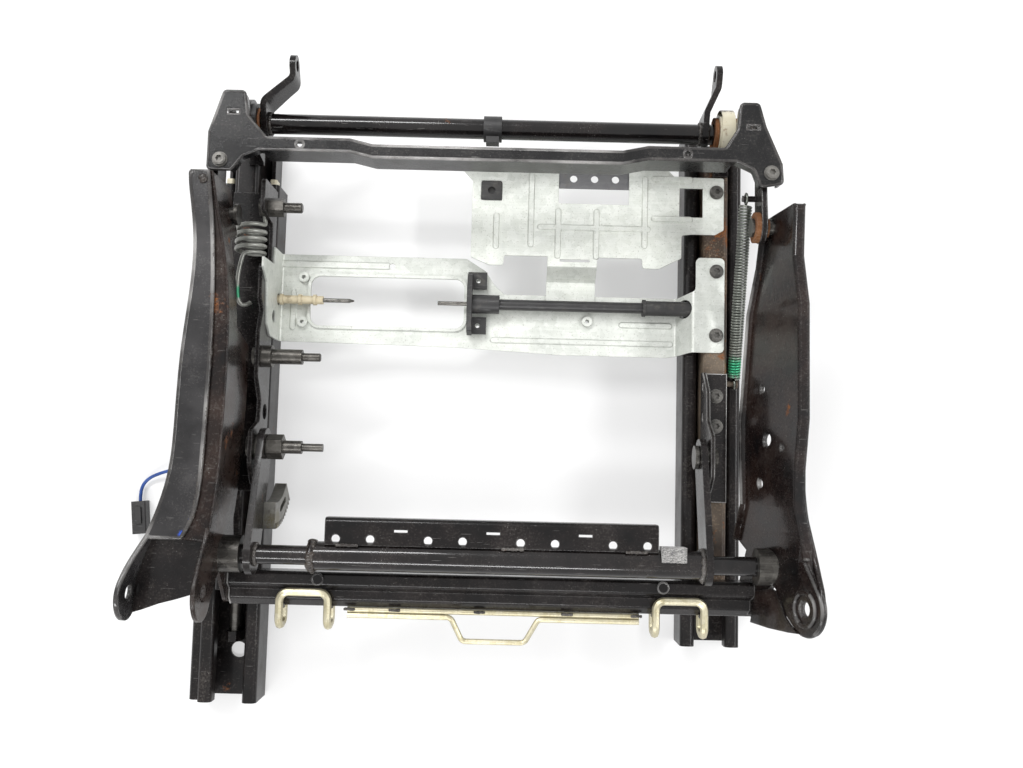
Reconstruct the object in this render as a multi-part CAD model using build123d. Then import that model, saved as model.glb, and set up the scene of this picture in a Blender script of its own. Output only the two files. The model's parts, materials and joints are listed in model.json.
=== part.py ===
from build123d import *
import os
from math import atan2, cos, degrees, pi, radians, sin, sqrt, tan

os.makedirs("parts", exist_ok=True)

# The lower frame of a powered car seat, in millimetres. X is to the right, Y to the front
# and Z up, with the floor rails standing on Z = 0 and the origin under the middle.

# Overall
half_length = 250.0  # middle to the lever tips, and to the rear end of the left floor rail
half_width = 239.0  # middle to the outermost faces of the backrest ears
seat_clearance = 0.3  # between moving pieces that only pass each other
running_clearance = 0.05  # radial, of a shaft in its bush

# Floor rails
rail_length = 420.0
rail_width = 47.0
rail_height = 36.0
rail_wall = 2.5
rail_bend = 3.0
rail_slot = 24.0  # gap between the two inturned lips
lip_drop = 12.0
rail_pitch = 383.0
rail_middle_x = -5.0  # middle of the two rails
left_rail_rear = -half_length
right_rail_rear = -197.0
rail_hole_radius = 6.5
rail_hole_inset = 36.0
strip_width = 9.0  # outer stiffening strip of the left rail
strip_length = 330.0

# Sliding upper rails
neck_width = 19.0
upper_top = 50.0
upper_length = 365.0
upper_rear = -160.0
rail_gap = 3.0  # room for the glides between upper and lower rail
glide_length = 22.0
glide_inset = 30.0

# Seat adjuster screws and gearboxes
screw_radius = 4.5
screw_z = 18.0
screw_inset = 46.0  # clear of the floor holes
bracket_length = 8.0
shaft_y = 73.0
shaft_z = 43.0
gearbox_length = 26.0
hub_radius = 5.0

# Height linkage, seen from the side: two equal links on each side of the seat
front_axis_y = 204.0
front_axis_z = 86.0
link_run = 79.0
link_rise = 24.0
rear_axis_y = -47.5
rear_axis_z = 84.0
front_pin_y = front_axis_y - link_run
front_pin_z = front_axis_z + link_rise
rear_tube_y = rear_axis_y - link_run
rear_tube_z = rear_axis_z + link_rise

# Uprights on the upper rails
upright_wall = 3.0
left_upright_x = -172.0  # outer face of the long left upright
right_upright_x = 174.0  # inner face of the right rear upright
left_saddle_x = -186.0  # outer face of the left front upright
right_saddle_x = 183.0
saddle_wall = 4.0
saddle_radius = 15.0
bush_radius = 11.0

# Front torque tube with its levers, arms and cross-member
front_tube_radius = 7.75
arm_wall = 4.0
left_arm_x = -203.0
right_arm_x = 206.0
lever_wall = 4.5
lever_eye_radius = 4.2
lever_eye_z = 108.0
lever_tip_radius = 8.0
member_top = 124.0
member_depth = 28.0
member_wall = 2.0
pin_radius = 5.0
pin_clearance = 0.3
left_lever_x = -172.0
left_lever_tip_x = -148.0
right_lever_x = 168.0
right_lever_tip_x = 175.0
lever_bend = (0.26, 0.61)  # where a lever bends sideways, as shares of its reach
member_screw_radius = 3.0
left_toe = -190.0  # inner ends of the arms' feet
right_toe = 216.0
member_screws = ((-196.5, 163.0), (212.0, 163.0))

# Rear torque tube
rear_tube_radius = 10.5
journal_radius = 7.0
link_wall = 5.0
link_bore = 6.5
left_link_x = left_upright_x + upright_wall + 3.0
right_link_x = right_upright_x - link_wall - 2.0
left_journal_end = -186.0
sector_radius = 62.0
sector_bore = 42.0
sector_width = 9.0
tooth_depth = 4.5
strip_left = -109.0  # perforated strip on the rear tube
strip_right = 133.0
strip_front = -99.0
strip_wall = 2.0

# Seat side members
side_wall = 2.5
side_top = 150.0
side_bottom = 90.0
ear_y = -151.0
ear_z = 150.0
ear_radius = 19.0
ear_hole_radius = 5.5
ear_lean = 20.0  # degrees that the right ear's top leans outwards
ear_wall = 4.0
right_ear_x = half_width - ear_radius * sin(radians(ear_lean)) - ear_wall * cos(radians(ear_lean))
member_front = 147.0
member_reach = half_width + 20.0  # beyond both side members, for cuts along X
pin_hole_radius = pin_radius + pin_clearance
boss_radius = 13.5
spring_relief = 34.0  # how much higher the left inner shell's edge is over the short spring

# Rear beam, child-seat anchors and wires
beam_wall = 2.5
beam_left = -184.8
beam_back = -165.0 - beam_wall / 2
hook_wire = 3.0  # radius of the anchor hooks' wire
hook_spacing = 280.0
hook_middle_x = 13.0
hook_gap = 36.0
rod_radius = 2.1
rod_z = 80.0

# Zinc-plated brackets
zinc_wall = 1.5
motor_plate_z = 32.5
bracket_top_z = upper_top
window_left = -143.0
window_right = -17.0
window_rear = 53.5
window_front = 94.5
motor_points = ((-149.0, 93.0), (-149.0, 56.0), (-5.5, 93.0), (-5.5, 56.0), (84.0, 62.0))
module_front = 186.0
module_rear = 112.0
lug_screws_low = (103.0, 51.0)
lug_screw_high = (186.0, 168.0)
foot_screws = (2.0, -22.0)
rail_screw_radius = 2.6

# Drive shafts
sheath_radius = 4.4
sleeve_radius = 6.0
core_radius = 1.7
collar_radius = 7.6
end_plate_x = -10.0
sleeve_start = 132.0
left_sheath_end = -131.0
hub_length = 3.5  # of the gearbox hubs beyond the rails' necks

# Studs
stud_radius = 4.0
stud_z = 80.0
stud_head = 7.0
nut_radius = 7.5
left_studs = (139.0, 22.0)

# Springs
coil_radius = 11.2  # short spring
coil_wire = 1.7
coil_turns = 4.25
coil_x = -184.8
coil_z = 70.0
coil_front = 127.0
coil_rear = 103.0
spring_front = (199.0, 150.0, 99.0)  # long spring's eyes
spring_rear = (202.5, 13.0, 43.0)
spring_outer = 5.2
spring_wire = 0.95
spring_ridge = 0.8
spring_turns = 24
eye_radius = 3.9
post_radius = 2.3

# Track sensor and its cable
sensor_y = -66.0
cable_radius = 1.4

left_rail_x = rail_middle_x - rail_pitch / 2
right_rail_x = rail_middle_x + rail_pitch / 2
lip_inner = rail_slot / 2
rail_inner = rail_width / 2 - rail_wall
left_hub = left_rail_x + neck_width / 2 + hub_length
right_hub = right_rail_x - neck_width / 2 - hub_length
strip_face = left_rail_x - rail_width / 2 - strip_width
rail_screw_points = [(right_rail_x, y) for y in lug_screws_low + foot_screws] + [lug_screw_high]
right_low_x = right_ear_x - 28.0  # right side plate's foot and head at the ear
right_high_x = right_ear_x + 1.5
right_journal_end = right_low_x + 8.0


def along_y(face, start, end):
    """A face drawn in X and Z, drawn out along Y."""
    plane = Plane(origin=(0, start, 0), x_dir=(1, 0, 0), z_dir=(0, -1, 0))
    return extrude(plane * face, amount=start - end)


def along_x(face, start, end):
    """A face drawn in Y and Z, drawn out along X."""
    return extrude(Plane.YZ.offset(start) * face, amount=end - start)


def along_z(face, start, end):
    """A face drawn in X and Y, drawn out along Z."""
    return extrude(Pos(0, 0, start) * face, amount=end - start)


def folded(points, wall, bend):
    """The section of a folded sheet about its centre line."""
    return trace(FilletPolyline(*points, radius=bend), wall)


def outline(points, rounding=0.0):
    """A closed outline, with every corner rounded alike."""
    face = make_face(Polyline(*points, close=True))
    if rounding > 0:
        face = fillet(face.vertices(), rounding)
    return face


def block(x0, x1, y0, y1, z0, z1):
    return Pos((x0 + x1) / 2, (y0 + y1) / 2, (z0 + z1) / 2) * Box(x1 - x0, y1 - y0, z1 - z0)


def pin_x(x0, x1, y, z, radius):
    """A round pin along X."""
    return along_x(Pos(y, z) * Circle(radius), x0, x1)


def pin_z(x, y, z0, z1, radius):
    return along_z(Pos(x, y) * Circle(radius), z0, z1)


def ring_x(x0, x1, y, z, radius, bore):
    return along_x(Pos(y, z) * (Circle(radius) - Circle(bore)), x0, x1)


def hull_of(circles):
    """The tight outline round circles given as (y, z, radius)."""
    edges = [edge for y, z, radius in circles for edge in (Pos(y, z) * Circle(radius)).edges()]
    return make_hull(edges)


def bent_wire(points, radius, bend):
    path = FilletPolyline(*points, radius=bend)
    return sweep(Plane(origin=path @ 0, z_dir=path % 0) * RegularPolygon(radius, 8), path=path)


def raised_bead(x, y, z, length, width, height, turn=0.0):
    """A pressed stiffening bead with sloping sides."""
    slot = Rot(0, 0, turn) * SlotOverall(length, width)
    return extrude(Pos(x, y, z) * slot, amount=height, taper=30)


# Floor rails: a rolled section with two inturned lips
def lower_rail(middle, rear):
    side = rail_width / 2 - rail_wall / 2
    lip = lip_inner + rail_wall / 2
    top = rail_height - rail_wall / 2
    section = folded(
        [
            (-lip, rail_height - lip_drop),
            (-lip, top),
            (-side, top),
            (-side, rail_wall / 2),
            (side, rail_wall / 2),
            (side, top),
            (lip, top),
            (lip, rail_height - lip_drop),
        ],
        rail_wall,
        rail_bend,
    )
    rail = along_y(section, rear, rear + rail_length)
    for y in (rear + rail_hole_inset, rear + rail_length - rail_hole_inset):
        rail -= pin_z(0, y, -1, rail_wall + 1, rail_hole_radius)
    rail += screw_brackets(rear)
    return Pos(middle, 0, 0) * rail


def left_lower_rail():
    return lower_rail(left_rail_x, left_rail_rear) + rail_strip()


def rail_strip():
    """The angle strip along the outer wall of the left rail."""
    wall = left_rail_x - rail_width / 2
    half = rail_wall / 2
    section = folded(
        [(wall - strip_width + half, 6), (wall - strip_width + half, 26), (wall, 26)],
        rail_wall,
        rail_bend,
    )
    rear = left_rail_rear
    return along_y(section, rear, rear + strip_length)


# Upper rails: a hat section whose feet hook up behind the lips
def upper_rail(middle, gear_side):
    neck = neck_width / 2 - rail_wall / 2
    hook = (lip_inner + rail_wall + rail_inner) / 2
    foot = rail_wall + rail_gap + rail_wall / 2
    hook_top = rail_height - rail_wall - rail_gap
    top = upper_top - rail_wall / 2
    section = folded(
        [(-hook, hook_top), (-hook, foot), (-neck, foot), (-neck, top)]
        + [(neck, top), (neck, foot), (hook, foot), (hook, hook_top)],
        rail_wall,
        rail_bend - 0.5,
    )
    rail = along_y(section, upper_rear, upper_rear + upper_length)
    hub = pin_x(0, gear_side * neck_width, shaft_y, shaft_z, hub_radius + seat_clearance)
    for y in (upper_rear + 12, upper_rear + upper_length - 12):
        rail -= pin_z(0, y, upper_top - 2 * rail_wall, upper_top + 1, 4)
    return Pos(middle, 0, 0) * (rail - hub)


def right_upper_rail():
    """The right upper rail has the screw holes of the brackets and the long spring's post."""
    rail = upper_rail(right_rail_x, -1)
    for x, y in rail_screw_points:
        rail -= pin_z(x, y, upper_top - 2 * rail_wall, upper_top + 1, rail_screw_radius)
    return rail + spring_post()


def rail_glides(middle):
    """Plastic shoes on the feet and hooks of an upper rail."""
    hook = (lip_inner + rail_wall + rail_inner) / 2
    hook_top = rail_height - rail_wall - rail_gap
    shoes = []
    front = upper_rear + upper_length - glide_inset - glide_length
    for y in (upper_rear + glide_inset, front):
        for side in (-1, 1):
            shoe = block(
                hook - 3.0, hook + 3.0, y, y + glide_length, hook_top - 8, hook_top + rail_gap - seat_clearance
            )
            slot = block(
                hook - rail_wall / 2, hook + rail_wall / 2, y - 1, y + glide_length + 1, 0, hook_top
            )
            shoe -= slot
            shoe = chamfer(shoe.edges().filter_by(Axis.Y).group_by(Axis.Z)[-1], 1.3)
            pad = block(8, 19, y, y + glide_length, rail_wall + seat_clearance, rail_wall + rail_gap)
            for piece in (shoe, pad):
                shoes.append(mirror(piece, Plane.YZ) if side < 0 else piece)
    return Pos(middle, 0, 0) * Compound(shoes)


def lead_screw(middle, rear):
    start = rear + screw_inset
    end = rear + rail_length - screw_inset
    rod = along_y(Pos(0, screw_z) * Circle(screw_radius), start, end)
    return Pos(middle, 0, 0) * rod


def screw_brackets(rear):
    """The two blocks welded on a rail's floor that hold the screw's ends."""
    ends = []
    for y in (rear + screw_inset, rear + rail_length - screw_inset - bracket_length):
        foot = outline([(-6, rail_wall / 2), (6, rail_wall / 2), (6, 22), (3, 26), (-3, 26), (-6, 22)])
        end = along_y(foot - Pos(0, screw_z) * Circle(screw_radius), y, y + bracket_length)
        ends.append(end)
    return ends


def gearbox(middle, side):
    """The nut housing inside the rail's neck, with the hub that takes the shaft."""
    inner = neck_width / 2 - rail_wall - seat_clearance
    rear = shaft_y - gearbox_length / 2
    front = shaft_y + gearbox_length / 2
    body = block(-inner, inner, rear, front, 9.5, upper_top - rail_wall - 1.5)
    body = fillet(body.edges().filter_by(Axis.Z), 2.5)
    hub_end = side * (neck_width / 2 + hub_length)
    body += pin_x(min(0, hub_end), max(0, hub_end), shaft_y, shaft_z, hub_radius)
    body -= along_y(Pos(0, screw_z) * Circle(screw_radius + seat_clearance), rear - 1, front + 1)
    body -= pin_x(min(0, 2 * hub_end), max(0, 2 * hub_end), shaft_y, shaft_z, core_radius)
    return Pos(middle, 0, 0) * body


# Uprights
def left_upright():
    """The long pressed upright on the left upper rail: a foot and a wall with the studs."""
    foot_outer = left_rail_x - neck_width / 2 + 1
    wall_x = left_upright_x + upright_wall / 2
    foot_z = upper_top + upright_wall / 2
    section = folded([(foot_outer, foot_z), (wall_x, foot_z), (wall_x, 108)], upright_wall, 4)
    sheet = along_y(section, -82, 158)
    wall = outline(
        [(158, 46), (158, 96), (134, 96), (129, 66), (97, 66), (92, 92), (66, 92)]
        + [(58, 84), (40, 92), (6, 92), (-12, 78), (-28, 80)]
        + [(-36, 101), (-60, 101), (-76, 88), (-82, 70), (-82, 46)],
        4,
    )
    start, end = left_upright_x - 1, left_upright_x + upright_wall + 1
    part = sheet & along_x(wall, foot_outer - 5, end)
    for y, z in ((left_studs[0], stud_z), (left_studs[1], stud_z), (rear_axis_y, rear_axis_z)):
        part -= pin_x(start, end, y, z, stud_radius + 1)
    part -= pin_x(start, end, shaft_y, shaft_z + 16, 5)
    for y in (-20, 52):
        part -= pin_x(start, end, y, 66, 6)
    return part


def right_upright():
    """The short rear upright on the right upper rail, with its row of holes."""
    foot_outer = right_rail_x + neck_width / 2 - 1
    wall_x = right_upright_x + upright_wall / 2
    foot_z = upper_top + upright_wall / 2
    section = folded([(foot_outer, foot_z), (wall_x, foot_z), (wall_x, 108)], upright_wall, 4)
    sheet = along_y(section, -82, 20)
    wall = outline(
        [(20, 46), (20, 62), (4, 78), (-20, 80), (-32, 98)]
        + [(-62, 98), (-74, 84), (-82, 66), (-82, 46)],
        4,
    )
    start, end = right_upright_x - 1, right_upright_x + upright_wall + 1
    part = sheet & along_x(wall, start, foot_outer + 5)
    part -= pin_x(start, end, rear_axis_y, rear_axis_z, stud_radius + 1)
    for y in (8, -16):
        part -= pin_x(start, end, y, 66, 3.5)
    for y in foot_screws:
        part -= pin_z(right_rail_x, y, 40, 60, rail_screw_radius)
    return part


def saddle(x, rail_x):
    """A front upright: a foot on the rail and an eye round the front tube."""
    foot_side = -1 if rail_x < 0 else 1
    wall_x = x + saddle_wall / 2
    eye = hull_of([(front_axis_y, front_axis_z, saddle_radius + 3)])
    eye += outline([(front_axis_y - 22, upper_top), (front_axis_y + 1, upper_top)]
                   + [(front_axis_y + 14, front_axis_z), (front_axis_y - 14, front_axis_z)])
    wall = along_x(eye, x, x + saddle_wall)
    toe = wall_x + foot_side * 10
    heel = wall_x - foot_side * 2
    foot = block(min(toe, heel), max(toe, heel), front_axis_y - 23, front_axis_y + 1,
                 upper_top, upper_top + upright_wall)
    part = wall + foot
    part -= pin_x(x - 1, x + saddle_wall + 1, front_axis_y, front_axis_z, bush_radius)
    return part


def front_bush(x, ribs):
    """A flanged plastic bush in an upright's eye."""
    start = x - 4
    end = x + saddle_wall + 4
    bush = ring_x(start, end, front_axis_y, front_axis_z, bush_radius,
                  front_tube_radius + running_clearance)
    bush += ring_x(start, x, front_axis_y, front_axis_z, saddle_radius,
                   front_tube_radius + running_clearance)
    bush += ring_x(x + saddle_wall, end, front_axis_y, front_axis_z, saddle_radius,
                   front_tube_radius + running_clearance)
    for turn in range(ribs):
        angle = radians(360 / ribs * turn)
        y = front_axis_y + saddle_radius * cos(angle)
        z = front_axis_z + saddle_radius * sin(angle)
        bush -= pin_x(start - 1, x, y, z, 1.4)
    return bush


# Zinc brackets across the two rails
def motor_bracket():
    plate_z = motor_plate_z + zinc_wall / 2
    flange_x = left_upright_x + upright_wall + zinc_wall / 2
    lug_z = bracket_top_z + zinc_wall / 2
    section = folded(
        [(flange_x, 96), (flange_x, plate_z), (157, plate_z), (168, lug_z), (193, lug_z)],
        zinc_wall,
        2.5,
    )
    sheet = along_y(section, 30, 120)
    plan = outline(
        [(flange_x - 8, 112), (-16, 112), (0, 102), (8, 90), (16, 83), (158, 83), (170, 87), (170, 114)]
        + [(193, 114), (193, 37), (166, 37), (150, 34), (64, 34), (-18, 38), (-76, 39), (flange_x - 8, 40)],
        4,
    )
    side = outline(
        [(37, 20), (37, 62), (48, 76), (80, 82), (90, 97), (97, 97), (98, 60), (116, 60), (116, 20)],
        2,
    )
    plate = sheet & along_z(plan, 20, 120)
    flange_end = flange_x + zinc_wall / 2 + 1
    plate &= along_x(side, flange_x - 8, flange_end) + block(flange_end, 200, 30, 120, 20, 60)
    rim = window_outline(2.5) - window_outline(0)
    plate += along_z(rim, motor_plate_z, motor_plate_z + zinc_wall + 1.5)
    plate -= along_z(window_outline(0), 20, 60)
    plate -= pin_x(flange_x - 5, flange_x + 5, shaft_y - 16, 56, 5)
    plate -= pin_x(150, 175, shaft_y, shaft_z, sleeve_radius + 1.5)
    plate -= pin_x(flange_x - 5, flange_x + 5, shaft_y, shaft_z, sheath_radius + seat_clearance)
    top = motor_plate_z + zinc_wall
    plate += raised_bead(-124, 104, top, 92, 6, 1.2)
    plate += raised_bead(80, 45, top, 150, 5, 1.2)
    plate += raised_bead(132, 60, top, 44, 5, 1.2)
    plate += raised_bead(-157, 66, top, 34, 5, 1.2, 90)
    for x, y in motor_points:
        plate += pin_z(x, y, top, top + 2.5, 4.5)
        plate -= pin_z(x, y, motor_plate_z - 1, top + 4, 2.6)
    plate -= pin_z(-77, 104, 20, 60, 2.5)
    for y in lug_screws_low:
        plate -= pin_z(right_rail_x, y, 40, 60, rail_screw_radius)
    return plate


def window_outline(margin):
    face = outline(
        [
            (window_left - margin, window_rear - margin),
            (window_right + margin, window_rear - margin),
            (window_right + margin, window_front + margin),
            (window_left - margin, window_front + margin),
        ],
        8 + margin,
    )
    return face


def module_bracket():
    z = bracket_top_z
    plan = outline(
        [(-24, module_front), (146, module_front), (152, 180), (192, 180), (192, 137)]
        + [(185, 133), (166, 133), (158, 132)]
        + [(158, 113), (140, module_rear - 8), (127, module_rear - 8), (126, module_rear)]
        + [(15, module_rear), (14, module_rear - 8), (3, module_rear - 8)]
        + [(-12, module_rear - 2), (-12, 173)],
        1.8,
    )
    plate = along_z(plan, z, z + zinc_wall)
    leg_z = motor_plate_z + zinc_wall
    leg_section = folded(
        [(module_rear + 4, z + zinc_wall / 2), (105, z + zinc_wall / 2)]
        + [(94, leg_z + zinc_wall / 2), (76, leg_z + zinc_wall / 2)],
        zinc_wall,
        2.5,
    )
    plate += along_x(leg_section, 50, 90)
    plate -= block(58, 115, 156, 183, z - 1, z + 3)
    plate -= block(156, 175, 147, 171, z - 1, z + 3)
    plate -= block(60, 84, 108, 110, z - 3, z + 3)
    plate -= pin_z(lug_screw_high[0], lug_screw_high[1], z - 1, z + 3, rail_screw_radius)
    plate -= block(-5, 12, 157.2, 173.2, z - 1, z + 3)
    top = z + zinc_wall
    plate += raised_bead(87, 136, top, 92, 5, 1.2)
    for x, y, length in ((8, 132, 30), (36, 150, 62), (58, 131, 42), (89, 131, 42), (128, 150, 60)):
        plate += raised_bead(x, y, top, length, 5, 1.2, 90)
    for y in (145, 178):
        plate += raised_bead(150, y, top, 34, 5, 1.2)
    return plate


def rubber_plug():
    z = bracket_top_z
    plug = block(-5, 12, 157.2, 173.2, z - 2, z + 3)
    plug = fillet(plug.edges().filter_by(Axis.Z), 2)
    cap = fillet(plug.faces().sort_by(Axis.Z)[-1].edges(), 1)
    return cap - pin_z(3.5, 165, z, z + 4, 3)


def hole_strip():
    """The dark strip with three holes across the front of the bracket's window."""
    z = bracket_top_z
    strip = block(56, 117, 169, 184, z - zinc_wall, z)
    for x in (70, 87, 104):
        strip -= pin_z(x, 177, z - 3, z + 1, 3)
    return strip


def torx_screw(x, y, z, head, height, shank, length):
    """A round-headed screw with a six-lobed socket."""
    body = pin_z(x, y, z, z + height, head)
    body = fillet(body.edges().sort_by(Axis.Z)[-1], height * 0.45)
    body += pin_z(x, y, z - length, z, shank)
    return body - along_z(Pos(x, y) * RegularPolygon(head * 0.42, 6), z + height * 0.35, z + height + 1)


def rail_screws():
    """The screws through the bracket lugs and the rear upright's foot."""
    screws = []
    for x, y in rail_screw_points:
        seat = upper_top + (zinc_wall if y > 30 else upright_wall)
        screws.append(torx_screw(x, y, seat, 5.7, 3.2, rail_screw_radius, 5.0))
    return Compound(screws)


def rivet_nuts():
    """Threaded inserts in the motor bracket."""
    top = motor_plate_z + zinc_wall + 2.5
    nuts = []
    for x, y in motor_points:
        nut = pin_z(x, y, motor_plate_z - 5, top, 2.6)
        nut += pin_z(x, y, top, top + 0.8, 4.2)
        nuts.append(nut - pin_z(x, y, motor_plate_z - 6, top + 2, 1.6))
    return Compound(nuts)


def motor_end_plate():
    """The black end plate with the collar that the right shaft leaves from."""
    base = motor_plate_z + zinc_wall + 2.5 + 0.8
    wall = outline([(47, base + 1.5), (99, base + 1.5), (96, 50), (82, 56), (64, 56), (50, 50)], 2)
    plate = along_x(wall, end_plate_x - 4, end_plate_x)
    for x, y in (motor_points[2], motor_points[3]):
        foot = block(end_plate_x - 4, x + 7, y - 7, y + 7, base, base + 2)
        plate += foot - pin_z(x, y, base - 1, base + 5, 2)
    collar = ring_x(end_plate_x, 12, shaft_y, shaft_z, collar_radius, sheath_radius)
    plate -= pin_x(end_plate_x - 5, end_plate_x + 1, shaft_y, shaft_z, sheath_radius)
    for y in (90, 56):
        plate -= pin_x(end_plate_x - 5, end_plate_x + 1, y, 44, 1.6)
    return plate + collar


def right_shaft_sheath():
    return ring_x(end_plate_x + 2, sleeve_start, shaft_y, shaft_z, sheath_radius, core_radius)


def right_shaft_sleeve():
    """The moulded sleeve between the sheath and the gearbox, with its two collars."""
    end = right_hub
    sleeve = ring_x(sleeve_start - 4, end, shaft_y, shaft_z, sleeve_radius, sheath_radius)
    sleeve += ring_x(sleeve_start, end, shaft_y, shaft_z, sleeve_radius, core_radius)
    for x in (sleeve_start - 4, end - 6):
        sleeve += ring_x(x, x + 2.5, shaft_y, shaft_z, sleeve_radius + 0.9, sheath_radius)
    return sleeve


def right_shaft_core():
    return pin_x(-38, right_hub + 3, shaft_y, shaft_z, core_radius)


def left_shaft_sheath():
    """The cut left sheath with two rings on it."""
    sheath = ring_x(left_hub, left_sheath_end, shaft_y, shaft_z, sheath_radius - 1.0, core_radius)
    for x in (-166, -151, -139):
        sheath += ring_x(x, x + 2.5, shaft_y, shaft_z, sheath_radius, core_radius)
    return sheath


def left_shaft_core():
    core = pin_x(left_hub - 3, -110, shaft_y, shaft_z, core_radius)
    tip = Pos(-110, shaft_y, shaft_z) * Rot(0, 90, 0) * Cone(core_radius, 0.6, 4)
    return core + tip.moved(Pos(2, 0, 0))


# Studs through the left upright
def nut_stud():
    inner = left_upright_x + upright_wall
    y = left_studs[0]
    stud = pin_x(left_upright_x - 4, inner + 26, y, stud_z, stud_radius)
    stud += pin_x(left_upright_x - 4, left_upright_x, y, stud_z, stud_head)
    stud += along_x(Pos(y, stud_z) * RegularPolygon(nut_radius, 6), inner, inner + 12)
    return chamfer(stud.faces().sort_by(Axis.X)[-1].edges(), 0.8)


def collar_stud():
    inner = left_upright_x + upright_wall
    y = left_studs[1]
    stud = pin_x(left_upright_x - 4, inner, y, stud_z, stud_radius)
    stud += pin_x(left_upright_x - 4, left_upright_x, y, stud_z, stud_head)
    stud += pin_x(inner, inner + 8, y, stud_z, 8.5)
    stud += pin_x(inner + 8, inner + 31, y, stud_z, 5.8)
    stud += pin_x(inner + 31, inner + 45, y, stud_z, 3.2)
    return chamfer(stud.faces().sort_by(Axis.X)[-1].edges(), 0.7)


def rear_pivots():
    """The bolts on which the rear links turn."""
    bore = link_bore - running_clearance
    outer = left_upright_x - 4
    left = pin_x(outer, left_upright_x, rear_axis_y, rear_axis_z, 8)
    left += pin_x(outer, left_upright_x + upright_wall, rear_axis_y, rear_axis_z, stud_radius + 1)
    left += pin_x(left_upright_x + upright_wall, left_link_x - seat_clearance, rear_axis_y, rear_axis_z, 10)
    left += pin_x(left_link_x - 1, left_link_x + link_wall + 1, rear_axis_y, rear_axis_z, bore)
    start = left_link_x + link_wall + seat_clearance
    left += along_x(Pos(rear_axis_y, rear_axis_z) * RegularPolygon(9.5, 6), start, start + 12)
    left += pin_x(start + 12, start + 26, rear_axis_y, rear_axis_z, 5)
    left += pin_x(start + 26, start + 42, rear_axis_y, rear_axis_z, 3)
    right = pin_x(right_upright_x + upright_wall, right_upright_x + upright_wall + 4,
                  rear_axis_y, rear_axis_z, 8)
    face = right_upright_x + upright_wall
    right += pin_x(right_upright_x, face, rear_axis_y, rear_axis_z, stud_radius + 1)
    right += pin_x(right_link_x + link_wall + seat_clearance, right_upright_x, rear_axis_y, rear_axis_z, 9)
    right += pin_x(right_link_x - 1, right_link_x + link_wall + 1, rear_axis_y, rear_axis_z, bore)
    end = right_link_x - seat_clearance
    right += pin_x(end - 3, end, rear_axis_y, rear_axis_z, 9)
    return Compound([left, right])


# Front torque tube and what is welded to it
def front_tube():
    tube = ring_x(left_arm_x, right_arm_x + arm_wall, front_axis_y, front_axis_z,
                  front_tube_radius, front_tube_radius - 2)
    return tube


def lever(base_x, tip_x):
    """A flat bar with a sideways S-bend, welded on the tube and ending in an eye."""
    reach = half_length - front_axis_y
    tip_y = half_length - lever_tip_radius
    knee_y = front_axis_y + 0.35 * reach
    side = hull_of([(front_axis_y, front_axis_z, 12), (knee_y, front_axis_z + 10, 9)])
    side += hull_of([(knee_y, front_axis_z + 10, 9), (tip_y, lever_eye_z, lever_tip_radius)])
    plan = trace(
        FilletPolyline(
            (base_x, front_axis_y - 14),
            (base_x, front_axis_y + lever_bend[0] * reach),
            (tip_x, front_axis_y + lever_bend[1] * reach),
            (tip_x, half_length + 5),
            radius=6,
        ),
        lever_wall,
    )
    bar = along_x(side, min(base_x, tip_x) - 10, max(base_x, tip_x) + 10) & along_z(plan, 60, 130)
    bar -= pin_x(base_x - 10, base_x + 10, front_axis_y, front_axis_z, front_tube_radius)
    return bar - pin_x(tip_x - 20, tip_x + 20, tip_y, lever_eye_z, lever_eye_radius)


def swing_arm(x, toe, screw):
    """A side arm from the front tube to the seat's front pin, with a foot under the T-head."""
    side = hull_of([(front_axis_y, front_axis_z, 14), (front_axis_y - 8, 99, 10)])
    side += hull_of([(front_axis_y - 8, 99, 10), (168, 107, 10), (front_axis_y, front_axis_z, 12)])
    side += hull_of([(168, 107, 10), (front_pin_y, front_pin_z, 12)])
    arm = along_x(side, x, x + arm_wall)
    top = member_top - member_wall
    low, high = min(x, toe), max(x + arm_wall, toe)
    arm += block(low, high, 158, 170, top - 2.5, top)
    arm += block(x, x + arm_wall, 158, 170, 108, top)
    if x > 0:
        arm += pin_x(spring_front[0] - 3, x, spring_front[1], spring_front[2], post_radius)
    arm -= pin_x(x - 1, x + arm_wall + 1, front_axis_y, front_axis_z, front_tube_radius)
    arm -= pin_x(x - 1, x + arm_wall + 1, front_pin_y, front_pin_z, pin_radius)
    return arm - pin_z(screw[0], screw[1], 112, top + 1, member_screw_radius)


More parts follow.
